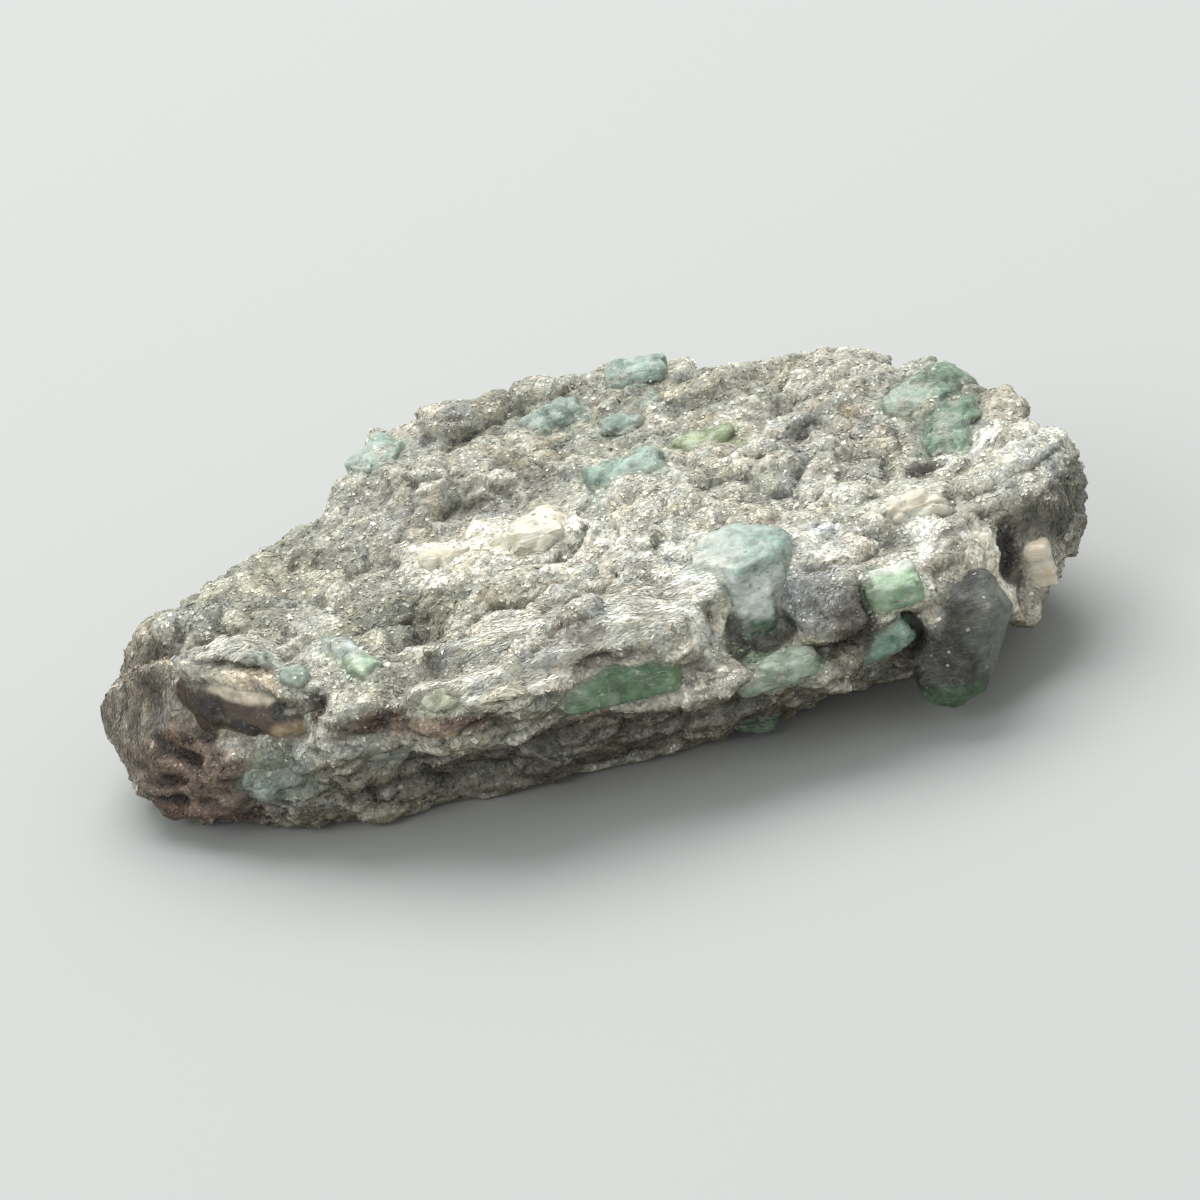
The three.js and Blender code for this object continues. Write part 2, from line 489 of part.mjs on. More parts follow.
function toSolid(geometry) {
  const bare = geometry.clone();
  bare.deleteAttribute('normal');
  bare.deleteAttribute('uv');
  const merged = mergeVertices(bare, 1e-4);
  return new wasm.Manifold(new wasm.Mesh({
    numProp: 3,
    vertProperties: new Float32Array(merged.getAttribute('position').array),
    triVerts: new Uint32Array(merged.index.array),
  }));
}

function toGeometry(solid) {
  const { vertProperties, triVerts, numProp } = solid.getMesh();
  const positions = new Float32Array((vertProperties.length / numProp) * 3);
  for (let i = 0; i < positions.length / 3; i += 1) {
    for (let k = 0; k < 3; k += 1) positions[i * 3 + k] = vertProperties[i * numProp + k];
  }
  const geometry = new THREE.BufferGeometry();
  geometry.setAttribute('position', new THREE.BufferAttribute(positions, 3));
  geometry.setIndex([...triVerts]);
  return geometry;
}

function joined(hulls) {
  return hulls.map(toSolid).reduce((whole, next) => whole.add(next));
}

// Grown pieces: name, look and the function that makes each piece's hulls, larger by
// what is asked, so that the same form cuts its socket.
const grown = [
  ...CRYSTALS.map(({ name, tone, parts }) => ({
    name, look: BERYL[tone], hulls: (grow) => parts.map((part) => crystalHull(part, grow)),
  })),
  ...PALE_MINERALS.map((plate) => ({
    name: plate.name, look: FELDSPAR_LOOK, hulls: (grow) => [plateHull(plate, grow)],
  })),
  { name: QUARTZ_LENS.name, look: QUARTZ_LOOK, hulls: (grow) => [lensHull(QUARTZ_LENS, grow)] },
];

const specimen = new THREE.Group();

function addPiece(name, geometry, { color, roughness, metalness = 0 }) {
  const mesh = new THREE.Mesh(geometry, new THREE.MeshStandardMaterial({ color, roughness, metalness }));
  mesh.name = name;
  specimen.add(mesh);
}

let rock = toSolid(rockGeometry());
for (const { name, look, hulls } of grown) {
  rock = rock.subtract(joined(hulls(GAP)));
  addPiece(name, toGeometry(joined(hulls(0))), look);
}
addPiece('schist_matrix', toGeometry(rock), SCHIST_LOOK);

// The origin goes under the middle of the whole specimen.
const extent = new THREE.Box3().setFromObject(specimen);
const middle = extent.getCenter(new THREE.Vector3());
for (const mesh of specimen.children) mesh.position.set(-middle.x, -middle.y, -extent.min.z);

export default specimen;
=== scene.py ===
# Emerald in matrix: a chunk of silvery mica schist with green beryl crystals grown in it.
#
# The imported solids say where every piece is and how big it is. This script dresses them:
# a fine rock surface under a felt of mica flakes, and crystals with worn edges, striations
# and veins. Lengths are millimetres in the specimen's own places, and turn into metres in
# the row frame when a mesh is made.

import itertools
import math
from collections import namedtuple

import bmesh
import bpy
import numpy as np
from mathutils import Matrix, Vector
from mathutils.bvhtree import BVHTree


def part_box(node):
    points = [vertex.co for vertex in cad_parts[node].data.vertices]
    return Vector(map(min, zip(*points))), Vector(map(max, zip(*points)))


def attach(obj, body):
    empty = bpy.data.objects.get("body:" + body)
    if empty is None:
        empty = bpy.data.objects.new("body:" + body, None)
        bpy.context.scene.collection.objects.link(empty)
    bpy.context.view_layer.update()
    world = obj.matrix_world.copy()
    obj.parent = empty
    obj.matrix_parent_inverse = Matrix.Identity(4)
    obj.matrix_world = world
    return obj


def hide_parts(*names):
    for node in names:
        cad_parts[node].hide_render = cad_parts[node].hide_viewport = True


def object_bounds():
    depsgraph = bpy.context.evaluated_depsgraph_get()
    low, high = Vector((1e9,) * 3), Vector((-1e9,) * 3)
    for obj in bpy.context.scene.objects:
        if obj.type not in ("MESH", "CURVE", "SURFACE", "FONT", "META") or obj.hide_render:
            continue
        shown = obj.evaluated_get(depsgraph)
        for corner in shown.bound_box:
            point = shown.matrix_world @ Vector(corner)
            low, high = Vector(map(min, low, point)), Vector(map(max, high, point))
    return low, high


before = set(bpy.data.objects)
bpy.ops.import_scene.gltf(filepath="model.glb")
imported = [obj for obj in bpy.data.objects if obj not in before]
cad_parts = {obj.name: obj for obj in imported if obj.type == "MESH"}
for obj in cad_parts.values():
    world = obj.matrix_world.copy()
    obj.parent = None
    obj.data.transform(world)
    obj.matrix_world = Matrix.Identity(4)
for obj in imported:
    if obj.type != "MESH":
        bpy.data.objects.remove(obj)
CAD_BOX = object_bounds()

MM = 0.001
SEED = 20

# The middle of the ridge prism's box in the specimen's own places. It ties them to the frame,
# which is centred under the whole specimen.
RIDGE_PRISM_MIDDLE = np.array([9.09, -11.89, 10.18])

# Camera: degrees and millimetres, with clipping in metres.
VIEW_ELEVATION = 28.0
VIEW_ROLL = 11.5
VIEW_DISTANCE = 300.0
VIEW_TARGET = np.array([0.0, 0.0, 5.3])
LENS = 144.0
SENSOR = 36
CLIP = (0.01, 20)

# Stage: half the floor's width in metres, and its depth below the rock in millimetres.
FLOOR_HALF = 3.0
FLOOR_DROP = 0.02
FLOOR_COLOUR = "a3a5a3"
ROOM_COLOUR = "f4f6f6"
ROOM_STRENGTH = 0.95
# Lights: name, place and size in metres, and power in watts.
LIGHTS = [
    ("window_above", (-0.05, 0.22, 0.55), 0.6, 4.6),
    ("window_front", (-0.35, -0.35, 0.4), 0.3, 1.0),
]

# Rock surface: quads, rounds that smooth it, how far its relief is set back, and the height
# at the foot below which that fades.
ROCK_VOXEL = 0.27
ROCK_SMOOTHING = 4
SETTLE = 0.05
FOOT_HEIGHT = 0.6
# Painted shade in its hollows and painted light on its bumps: rounds of smoothing that measure
# them, strength, least and most.
PAINTED_RELIEF_SHADE = [(4, 1.6, -0.12, 0.2), (30, 1.1, -0.3, 0.6)]

# Skin over the sockets: quads, growth of the crystals that closes the gaps, how far off it is
# loose, rounds that tighten it and blend its border, its depth in them, its longest move.
FILL_VOXEL = 0.5
FILL_GROWTH = 0.7
FILL_REACH = 0.85
FILL_ROUNDS = 160
SEAM_ROUNDS = 3
FILL_DEPTH = 0.6
FILL_MOST = 2

# Crystals: quads, rounds for crisp and for worn edges, how far they mark the rock, how far mica
# climbs them, and how far off the rock and, in reaches, they themselves are looked for.
CRYSTAL_VOXEL = 0.17
CRISP_ROUNDS = 2
WORN_ROUNDS = 22
RIM_REACH = 1.4
VEIL_REACH = 0.4
ROCK_REACH = 4.0
SEARCH = 3

# Mica flakes: sizes, the spread of their logarithm, and a flake's thickness in widths.
FLAKE_PIECES = ["front", "crest", "top", "back"]
FLAKES_A_PIECE = 26000
FLAKE_SIDES = 4
FLAKE_SIZE = 0.2
FLAKE_SPREAD = 0.36
FLAKE_WIDTHS = (0.07, 0.42)
FLAKE_LENGTHS = (0.1, 0.8)
FLAKE_DEPTH = 0.45
# Kinds of flake: share, tone and roughness.
FLAKE_KINDS = [
    (0.22, 0.79, 0.5),
    (0.45, 0.95, 0.44),
    (0.29, 1.07, 0.36),
    # The last kind is brighter for a painted glint, beside its low roughness.
    (0.04, 1.35, 0.2),
]

DEG = math.pi / 180
CORNERS = np.array(list(itertools.product((0, 1), repeat=3)))
AROUND = np.array(list(itertools.product((-1, 0, 1), repeat=3)))


# Colour

def linear(text):
    """The linear colour of an sRGB hex text."""
    parts = np.array([int(text[i : i + 2], 16) for i in (0, 2, 4)]) / 255
    return np.where(parts <= 0.04045, parts / 12.92, ((parts + 0.055) / 1.055) ** 2.4)


def rgba(text):
    return (*linear(text), 1.0)


# Noise in space, the same in every run

HASH_STEPS = (374761393, 668265263, 2147483647)
HASH_MIX = 1274126177
HASH_MASK = 0xFFFFFFFF
# Strength of a finer noise beside the one before.
OCTAVE = 0.55
# Grooves between blocks: depth, and width as a share of a block.
GROOVE = 0.22
GROOVE_WIDTH = 0.2
# Farther than any point can be, in cells.
FAR = 9.0


def lattice(cell, seed):
    """A value from 0 to 1 for each row of whole numbers."""
    i, j, k = (cell[..., n] * step for n, step in enumerate(HASH_STEPS))
    h = (i + j + k + seed * HASH_MIX) & HASH_MASK
    h = ((h ^ (h >> 13)) * HASH_MIX) & HASH_MASK
    return (h ^ (h >> 16)) / HASH_MASK


def smooth(t):
    t = np.clip(t, 0, 1)
    return t * t * (3 - 2 * t)


def noise(p, size, seed):
    """Smooth noise from -1 to 1, with lumps of that size."""
    q = p / np.asarray(size, float)
    base = np.floor(q).astype(np.int64)
    t = smooth(q - base)
    total = np.zeros(len(p))
    for corner in CORNERS:
        weight = np.prod(np.where(corner, t, 1 - t), axis=1)
        total += weight * lattice(base + corner, seed)
    return total * 2 - 1


def layered(p, size, seed, octaves=3):
    """Noise with finer noise on it, from -1 to 1."""
    total, weight = np.zeros(len(p)), 0
    for n in range(octaves):
        total += noise(p, np.asarray(size, float) / 2**n, seed + n) * OCTAVE**n
        weight += OCTAVE**n
    return total / weight


def bent(p, amount, size, seed):
    """Points moved by noise, along each axis by its own."""
    return p + amount * np.stack([noise(p, size, seed + k) for k in range(3)], axis=1)


def cells(p, size, seed):
    """Distances to the nearest of scattered points and to the next, which it is, and its way."""
    q = p / np.asarray(size, float)
    base = np.floor(q).astype(np.int64)
    first, second = np.full(len(p), FAR), np.full(len(p), FAR)
    nearest, offset = base.copy(), np.zeros_like(q)
    for step in AROUND:
        cell = base + step
        way = q - cell - np.stack([lattice(cell, seed + n) for n in range(3)], axis=1)
        away = np.linalg.norm(way, axis=1)
        closer = away < first
        second = np.where(closer, first, np.minimum(second, away))
        first = np.minimum(first, away)
        nearest[closer], offset[closer] = cell[closer], way[closer]
    return first, second, nearest, offset


def blocks(p, size, seed, tilt):
    """Heights of broken blocks that each lean in their own way, with grooves between."""
    first, second, nearest, offset = cells(p, size, seed)
    lean = np.stack([lattice(nearest, seed + 4 + k) - 0.5 for k in range(3)], axis=1)
    height = lattice(nearest, seed + 3) - 0.5 + tilt * (lean * offset).sum(1)
    inner = smooth((second - first) / GROOVE_WIDTH)
    return height * (0.6 + 0.4 * inner) - GROOVE * (1 - inner)


# Places on the specimen

# Rags on the border of a place: their depth as a share of its size, and their length.
RAGGED = 0.3
RAG_SIZE = 1.6


def in_zone(p, at, half, turn=0, soft=0.5, seed=5):
    """1 inside an ellipsoid and 0 well outside it, with a ragged border."""
    c, s = math.cos(turn * DEG), math.sin(turn * DEG)
    d = p - np.array(at, float)
    u = (c * d[:, 0] + s * d[:, 1]) / half[0]
    v = (c * d[:, 1] - s * d[:, 0]) / half[1]
    w = d[:, 2] / half[2]
    reach = np.sqrt(u * u + v * v + w * w) + RAGGED * layered(p, RAG_SIZE, seed)
    return smooth((1 + soft / 2 - reach) / soft)


ROCK_TONE = "aeaca0"
MOTTLE = ["828684", "a5a397", "c4c2b4", "858270", "d6d2c3", "989a8c", "6b675d", "ada28c", "b8b6aa"]
# Tints of the rock: name, colour, strength, middle, half sizes, and any turn about Z in degrees.
TINTS = [
    ("left end", "675d50", 0.8, (-29, -5.5, 7.6), (4, 5, 4.4)),
    ("lower left", "68574a", 0.95, (-25.8, -11, 4.4), (5.6, 4.4, 3.4), -20),
    ("foot of the left end", "5a463b", 0.8, (-26.4, -9.6, 1.8), (5, 4, 1.6), -20),
    # Painted shade in the hole beside the quartz.
    ("hole by the quartz", "2c2823", 0.95, (-17.5, -15.2, 10), (0.9, 1.3, 0.9), -36),
    # Painted shade in the gap under the overhanging brow.
    ("under the brow, dark", "2f2a24", 0.9, (-21.6, -12.4, 11.7), (3, 1.1, 0.5), -36),
    # Painted shade on the front face under the ridge, which looks down.
    ("front below the lip", "6f6b60", 0.8, (-4, -15.4, 3.6), (17, 3.6, 3.4)),
    ("grey-green blotch", "7f867a", 0.8, (-20.4, -14.8, 5.6), (2.6, 2.2, 2.4)),
    ("brown rim", "6e5c4c", 0.85, (-12.4, -18.4, 9.3), (6.4, 2.2, 0.9), -2),
    ("rust on the rim", "4c372c", 0.85, (-8.4, -19.2, 9.7), (1.5, 1.2, 0.7)),
    ("rust left of the rim", "4c372c", 0.75, (-14.4, -17.6, 9.4), (1.6, 1.4, 0.7)),
    ("rust under the lens", "6b4a3a", 0.7, (-0.6, -17.4, 6.4), (2.6, 1.2, 0.6)),
    ("lip", "c9c8bc", 0.7, (1, -18.2, 7.4), (7, 1.4, 0.6), 4),
    ("left top", "979787", 0.65, (-20, 0, 11), (7, 9, 3)),
    ("brow", "b3b2a6", 0.8, (-21.4, -10.8, 12.6), (5.2, 2, 1.2), -36),
    ("cream over the lens", "cdc2ad", 0.9, (-21.6, -12, 11.2), (2.8, 1.2, 0.5), -37),
    ("left of the valley", "cfcec2", 0.5, (-17.4, -10, 11.4), (2.6, 4.4, 1.2), 10),
    # Painted shade in the valley behind the front ridge.
    ("valley", "7c7b68", 0.8, (-11.6, -7.8, 10.8), (5.6, 2.4, 1.6), 14),
    ("beside the plate", "93917f", 0.6, (-4.4, -9, 11.4), (4.6, 1.5, 1.4), 18),
    ("plateau", "babaad", 0.6, (2, -3, 12.8), (12, 5.6, 2.4), 8),
    ("plateau's back", "9a9a8b", 0.65, (3, 8.6, 13.4), (16, 6, 2.8)),
    ("cream left", "dad8ca", 0.8, (-9, -3.4, 12.6), (3.6, 3, 1.4), 12),
    ("cream middle", "dfddd0", 0.8, (-2.4, -3.4, 13.2), (3.6, 2.2, 1.4), 18),
    ("cream by the ridge", "dad9cd", 0.7, (0.8, -5.6, 12.2), (2.2, 1.6, 1.2), 10),
    ("cream by the prism", "dcdcd0", 0.75, (4.8, -8.9, 12.4), (2.2, 1.5, 1.2)),
    ("ridge, left run", "b9b7ab", 0.8, (-9.6, -18.8, 11.4), (9.4, 1.9, 1.2), -2),
    ("ridge, right run", "c4c3b8", 0.8, (2.2, -16.8, 12.8), (6.6, 1.7, 1.4), 26),
    ("saddle", "d8d8cd", 0.8, (6.2, -13.2, 13), (2.6, 1.6, 1), 20),
    ("second ridge", "b6b5a9", 0.7, (-4.4, -14.4, 12.4), (8.6, 1.3, 1), 18),
    ("granular face", "cbccc0", 0.8, (6.6, -16.2, 10.6), (3.6, 2.4, 1.8)),
    ("boulder", "7c7e7e", 0.9, (12.8, -15.6, 10.3), (2.5, 2.6, 2.3), 10),
    ("boulder's shade", "4f4a41", 0.9, (14.4, -16.6, 9.2), (1.3, 1.6, 2), 10),
    ("boulder's rim", "bdbcb0", 0.8, (11.9, -16.2, 8.8), (1.4, 1.2, 0.6), 10),
    ("boulder's foot", "777464", 0.8, (12.8, -16.4, 6.9), (2.8, 1.8, 1.5)),
    # Lighter top of the boulder: partly white mica and partly a painted sheen.
    ("boulder's top", "d9d9cf", 0.9, (13.9, -11.6, 12.4), (3.2, 1.5, 1.2), -6),
    # Painted shade in the slot.
    ("slot", "4d4942", 0.9, (15, -16, 9.4), (0.9, 1.6, 2.2)),
    # Painted shade in the pits and under the mint block.
    ("pits", "38342e", 0.95, (17.6, -15.6, 6.2), (1.7, 1.9, 2)),
    ("slope", "dcd7c5", 0.9, (23.4, -13, 7.8), (2.6, 2.6, 3)),
    ("flake column", "f4f4ec", 0.8, (19.6, -12, 11.6), (0.8, 2.2, 1.2)),
    ("by the right plate", "c9c9ba", 0.5, (18, -7, 12.6), (4.6, 3, 1.4), 14),
    # Painted shade on the overhanging front face of the chunk.
    ("chunk front", "64635a", 0.9, (27.9, -8.6, 9.4), (2.8, 2.8, 1.9), -20),
    ("chunk top", "dbdcd0", 0.75, (26.6, -5.4, 12.4), (3.6, 4, 1.4), -18),
    ("right edge", "8a897c", 0.7, (30.4, -5, 9), (1.6, 4, 3.4)),
    ("lobe", "c0b9a7", 0.8, (26, -11.2, 4.6), (2.2, 1.8, 1.9)),
    # Painted light that lifts the shade under the chunk.
    ("under the chunk", "aaa697", 0.7, (26.6, -9.6, 3.4), (4, 4, 2.6)),
    ("ridge prism's foot", "66775e", 0.85, (8.6, -16, 8.6), (1.6, 1.2, 1.1)),
    # Painted shade in the cleft.
    ("cleft", "36322c", 0.95, (24.8, -10.6, 8), (0.8, 1.4, 1.9), -20),
    # Painted shade in the crack left of the lobe.
    ("left of the lobe", "3b3730", 0.9, (25.4, -13.6, 6.4), (0.9, 1.6, 1.3), -20),
    # Painted shade in the pit.
    ("right pit", "4a473f", 0.9, (21, -4.2, 12), (1.2, 1, 1.4)),
    ("back face", "8b8776", 0.7, (0, 18, 5.6), (22, 5, 5.6)),
    ("brown of the back", "7a6858", 0.7, (-12, 15.6, 4), (7, 3.6, 3), 10),
]

# Dents of the rock: name, depth, middle, half sizes and any turn. A depth below 0 stands out.
DENTS = [
    ("boulder", -0.6, (13, -16, 10.3), (2.3, 2.1, 1.7), 25),
    ("slot", 0.6, (15.3, -15.6, 9.6), (0.35, 1.6, 1.8)),
    ("under the boulder", 0.7, (12.6, -16.9, 8), (2, 1.2, 0.5)),
    ("pits", 1, (17.6, -15.8, 7.2), (0.9, 1.4, 1.4)),
    ("chunk's crack", 0.7, (24.8, -10.4, 8.2), (0.35, 1.4, 2.2), -20),
    ("left of the lobe", 0.6, (25.3, -13, 5.6), (0.6, 1.6, 1.6)),
    ("under the brow", 0.8, (-21.8, -11.6, 12), (2.6, 0.7, 0.35), -36),
    ("right of the quartz lens", 1.2, (-17.6, -14.6, 10.2), (0.8, 0.8, 0.8)),
    ("right pit", 1, (21, -4.2, 12.4), (1.1, 0.7, 1)),
    ("left of the prism", 0.6, (7.6, -15.4, 9.2), (0.6, 1.6, 1.4)),
    ("foot of the prism", 1, (9.3, -15.2, 9), (1.5, 1.3, 1.5)),
    ("top of the front lens", 0.5, (-0.3, -18.2, 11), (2.4, 1, 0.6)),
    ("end of the front lens", -0.6, (4.2, -18.2, 10.3), (1.1, 0.9, 0.6)),
    ("crack by the flakes", 0.7, (21.5, -9.4, 12.3), (0.5, 1.6, 1), -20),
]
# Colour of the painted shade in the dents.
DENT_SHADE_TONE = "443f37"
# Tint of the painted shade on faces that look down.
UNDERSIDE_SHADE_TONE = "c4bbae"
OCHRE_TONE = "b39560"
# Bounds of the colours of rock and flakes.
DARKEST, DARKEST_FLAKE, LIGHTEST = 0.01, 0.012, 0.93
# Mottles: size of the lumps, strength and seed.
MOTTLES = [((2.3, 1.8, 1.5), 0.36, SEED + 6), ((0.8, 0.6, 0.5), 0.32, SEED + 7)]


def dent_depth(p):
    """How deep each point lies in a dent, in millimetres."""
    return sum(depth * in_zone(p, *place, soft=0.8) for _, depth, *place in DENTS)


def mottle(p, size, seed):
    """The colour of the lump that each point is in."""
    _, _, nearest, _ = cells(bent(p, 0.5 * size[0], size[0], seed), size, seed + 5)
    palette = np.array([linear(colour) for colour in MOTTLE])
    return palette[(lattice(nearest, seed) * (len(palette) - 0.01)).astype(int)]


def rock_tint(p, normal, hollow):
    """The rock's colour at each point, with painted shade in hollows, in dents and on faces that
    look down, and painted light on bumps.
    """
    wide = layered(p, (6.0, 4.0, 3.0), SEED + 1)
    small = layered(p, 1.3, SEED + 2)
    tone = np.ones((len(p), 1)) * linear(ROCK_TONE)
    for n, (_, colour, strength, *place) in enumerate(TINTS):
        amount = strength * in_zone(p, *place, soft=0.7, seed=40 + n)
        tone += (linear(colour) - tone) * amount[:, None]
    grey = linear(ROCK_TONE)
    for size, strength, seed in MOTTLES:
        tone *= (mottle(p, size, seed) / grey) ** strength
    tone *= (1 + 0.14 * wide + 0.14 * small)[:, None]
    tone *= (1 + 0.4 * in_zones(p, FIBRES) * noise(p, (0.5, 0.5, 4.0), 171))[:, None]
    # Painted shade in the hollows, stronger in the folds, and painted light on the bumps.
    tone *= np.clip(1 - hollow * (1 + 0.9 * in_zones(p, FOLDS)), 0.3, 1.3)[:, None]
    # Painted shade in the dents.
    tone += (linear(DENT_SHADE_TONE) - tone) * (0.6 * smooth(dent_depth(p)))[:, None]
    # Painted shade on faces that look down.
    under = smooth(-normal[:, 2] * 1.3)
    tone += (tone * linear(UNDERSIDE_SHADE_TONE) * 0.95 - tone) * under[:, None]
    ochre = smooth((layered(p, 1.1, SEED + 3) - 0.5) / 0.2) * 0.4
    tone += (linear(OCHRE_TONE) - tone) * ochre[:, None]
    return np.clip(tone, DARKEST, LIGHTEST)


# Meshes

def placed(name, data):
    """A new object in the scene."""
    made = bpy.data.objects.new(name, data)
    bpy.context.scene.collection.objects.link(made)
    return made


def origin():
    """Where the specimen's own places start, in the row frame, in millimetres."""
    low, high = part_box("emerald_ridge_prism")
    return np.array((low + high) / 2) / MM - RIDGE_PRISM_MIDDLE


ORIGIN = origin()
BOX_LOW = np.array(CAD_BOX[0]) / MM - ORIGIN
BOX_HIGH = np.array(CAD_BOX[1]) / MM - ORIGIN


def solid_of(node):
    """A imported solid's corners, in the specimen's own places, and its faces."""
    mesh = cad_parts[node].data
    bm = bmesh.new()
    bm.from_mesh(mesh)
    bmesh.ops.remove_doubles(bm, verts=bm.verts, dist=1e-6)
    points = np.array([v.co for v in bm.verts]) / MM - ORIGIN
    faces = [[v.index for v in f.verts] for f in bm.faces]
    bm.free()
    return points, faces


def remeshed(points, faces, voxel):
    """The same solid in even quads of about that size."""
    mesh = bpy.data.meshes.new("remesh")
    mesh.from_pydata(points.tolist(), [], faces)
    piece = placed("remesh", mesh)
    remesh = piece.modifiers.new("remesh", "REMESH")
    remesh.mode = "VOXEL"
    remesh.voxel_size = voxel
    made = piece.evaluated_get(bpy.context.evaluated_depsgraph_get()).to_mesh()
    co = np.empty(len(made.vertices) * 3, np.float32)
    made.vertices.foreach_get("co", co)
    quads = np.empty(len(made.loops), np.int32)
    made.loops.foreach_get("vertex_index", quads)
    bpy.data.objects.remove(piece)
    bpy.data.meshes.remove(mesh)
    return co.reshape(-1, 3).astype(float), quads.reshape(-1, 4)


def quad_faces(points, quads):
    """Each quad's normal, twice as long as its area."""
    a, b, c, d = (points[quads[:, k]] for k in range(4))
    return np.cross(c - a, d - b)


def summed(index, rows, count):
    """For each index up to count, the sum of its rows."""
    return np.stack([np.bincount(index, rows[:, k], count) for k in range(3)], axis=1)


def quad_normals(points, quads):
    """Each corner's normal."""
    faces = np.repeat(quad_faces(points, quads), 4, axis=0)
    total = summed(quads.ravel(), faces, len(points))
    return total / np.maximum(np.linalg.norm(total, axis=1, keepdims=True), 1e-9)


# Share of the way to the middle that a corner moves in each round.
RELAX_SHARE = 0.5


def relax(points, quads, rounds, loose=1.0):
    """Moves each corner towards the middle of its neighbours, as far as it is loose."""
    starts = quads.ravel()
    ends = np.roll(quads, -1, axis=1).ravel()
    here, there = np.r_[starts, ends], np.r_[ends, starts]
    count = np.maximum(np.bincount(here, minlength=len(points)), 1)
    share = (RELAX_SHARE * np.ones(len(points)) * loose)[:, None]
    for _ in range(rounds):
        middle = summed(here, points[there], len(points)) / count[:, None]
        points = points + (middle - points) * share
    return points


def largest_shell(points, quads):
    """The biggest closed shell, without the bubbles inside it."""
    mark = np.arange(len(points))
    while True:
        lower = mark.copy()
        np.minimum.at(lower, quads.ravel(), np.repeat(mark[quads].min(axis=1), 4))
        lower = lower[lower]
        if (lower == mark).all():
            break
        mark = lower
    kept = mark == np.bincount(mark).argmax()
    index = np.cumsum(kept) - 1
    return points[kept], index[quads[kept[quads].all(axis=1)]]


def make_mesh(name, points, faces, layers, smooth_faces=True):
    """An object from corners in the specimen's own places, with layers of colours or values."""
    inside = np.clip(points, BOX_LOW, BOX_HIGH)
    metres = ((inside + ORIGIN) * MM).astype(np.float32)
    sides = faces.shape[1]
    mesh = bpy.data.meshes.new(name)
    mesh.vertices.add(len(points))
    mesh.vertices.foreach_set("co", metres.ravel())
    mesh.loops.add(faces.size)
    mesh.loops.foreach_set("vertex_index", faces.astype(np.int32).ravel())
    mesh.polygons.add(len(faces))
    mesh.polygons.foreach_set("loop_start", np.arange(0, faces.size, sides, dtype=np.int32))
    mesh.polygons.foreach_set("use_smooth", np.full(len(faces), smooth_faces))
    mesh.update(calc_edges=True)
    for key, value in layers.items():
        if value.ndim == 2:
            layer = mesh.color_attributes.new(key, "FLOAT_COLOR", "POINT").data
            value = np.c_[value, np.ones(len(value))].astype(np.float32)
            layer.foreach_set("color", value.ravel())
        else:
            layer = mesh.attributes.new(key, "FLOAT", "POINT").data
            layer.foreach_set("value", value.astype(np.float32))
    return placed(name, mesh)


def dress(piece, material, slot, *nodes):
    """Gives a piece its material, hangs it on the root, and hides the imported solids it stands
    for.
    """
    piece.data.materials.append(material)
    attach(piece, "root")
    if nodes:
        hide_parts(*nodes)


# Crystals

CRYSTAL_NODES = sorted(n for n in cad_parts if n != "schist_matrix")


def signed_distance(points, tree, reach):
    """Distance of each point to a closed surface, less than 0 inside, and the surface's way out."""
    away = np.full(len(points), float(reach))
    out = np.zeros_like(points)
    for i, point in enumerate(points):
        here = Vector(point)
        at, normal, _, distance = tree.find_nearest(here, reach)
        if at is not None:
            away[i] = -distance if (here - at).dot(normal) < 0 else distance
            out[i] = normal
    return away, out


def from_crystals(points, crystals, reach):
    """Distance of each point to the nearest crystal, less than 0 inside, its way out, and which."""
    away = np.full(len(points), float(reach))
    out = np.zeros_like(points)
    which = np.zeros(len(points), int)
    for n, (corners, faces) in enumerate(crystals.values()):
        near = np.flatnonzero(
            ((points > corners.min(0) - reach) & (points < corners.max(0) + reach)).all(axis=1)
        )
        tree = BVHTree.FromPolygons(corners.tolist(), [list(face) for face in faces])
        here, way = signed_distance(points[near], tree, reach * SEARCH)
        closer = here < away[near]
        away[near[closer]], out[near[closer]] = here[closer], way[closer]
        which[near[closer]] = n
    return away, out, which


def chipped(points, chips, bite, seed):
    """Points with corners broken off flat."""
    middle = (points.min(0) + points.max(0)) / 2
    for n in range(chips):
        row = np.array([[seed, n, 3]])
        way = np.array([lattice(row, 200 + k)[0] * 2 - 1 for k in range(3)])
        way /= np.linalg.norm(way)
        reach = (points - middle) @ way
        limit = reach.max() * (1 - bite * (0.3 + lattice(row, 210)[0]))
        points = points - np.maximum(reach - limit, 0)[:, None] * way
    return points


def worn_crystal(node):
    """A crystal's fine surface, with broken corners, worn edges, striations and steps."""
    corners, faces = solid_of(node)
    points, quads = remeshed(corners, faces, CRYSTAL_VOXEL)
    _, _, wear, chips, bite, _ = CRYSTALS[node]
    points = chipped(points, chips, bite, CRYSTAL_NODES.index(node))
    crisp = relax(points, quads, CRISP_ROUNDS)
    blunt = relax(points, quads, WORN_ROUNDS)
    worn = np.clip(wear + 0.5 * layered(points, 2.0, 100), 0, 1)
    points = crisp + (blunt - crisp) * worn[:, None]
    normal = quad_normals(points, quads)
    _, _, axes = np.linalg.svd(corners - corners.mean(0), full_matrices=False)
    local = (points - corners.mean(0)) @ axes.T
    lines = noise(local, (9.0, 0.5, 0.5), 110) + 0.6 * noise(local, (6.0, 0.26, 0.26), 111)
    moved = points + 0.6 * noise(points, 1.3, 121)[:, None]
    rise = 0.03 * lines + 0.1 * blocks(local, (3.4, 1.3, 1.3), 125, 0.8)
    rise += wear * (blocks(moved, (2.2, 1.6, 1.6), 120, 1.2) - 0.05)
    rise += wear * 0.12 * layered(points, 0.8, 130)
    return points + normal * rise[:, None], quads


# The rock

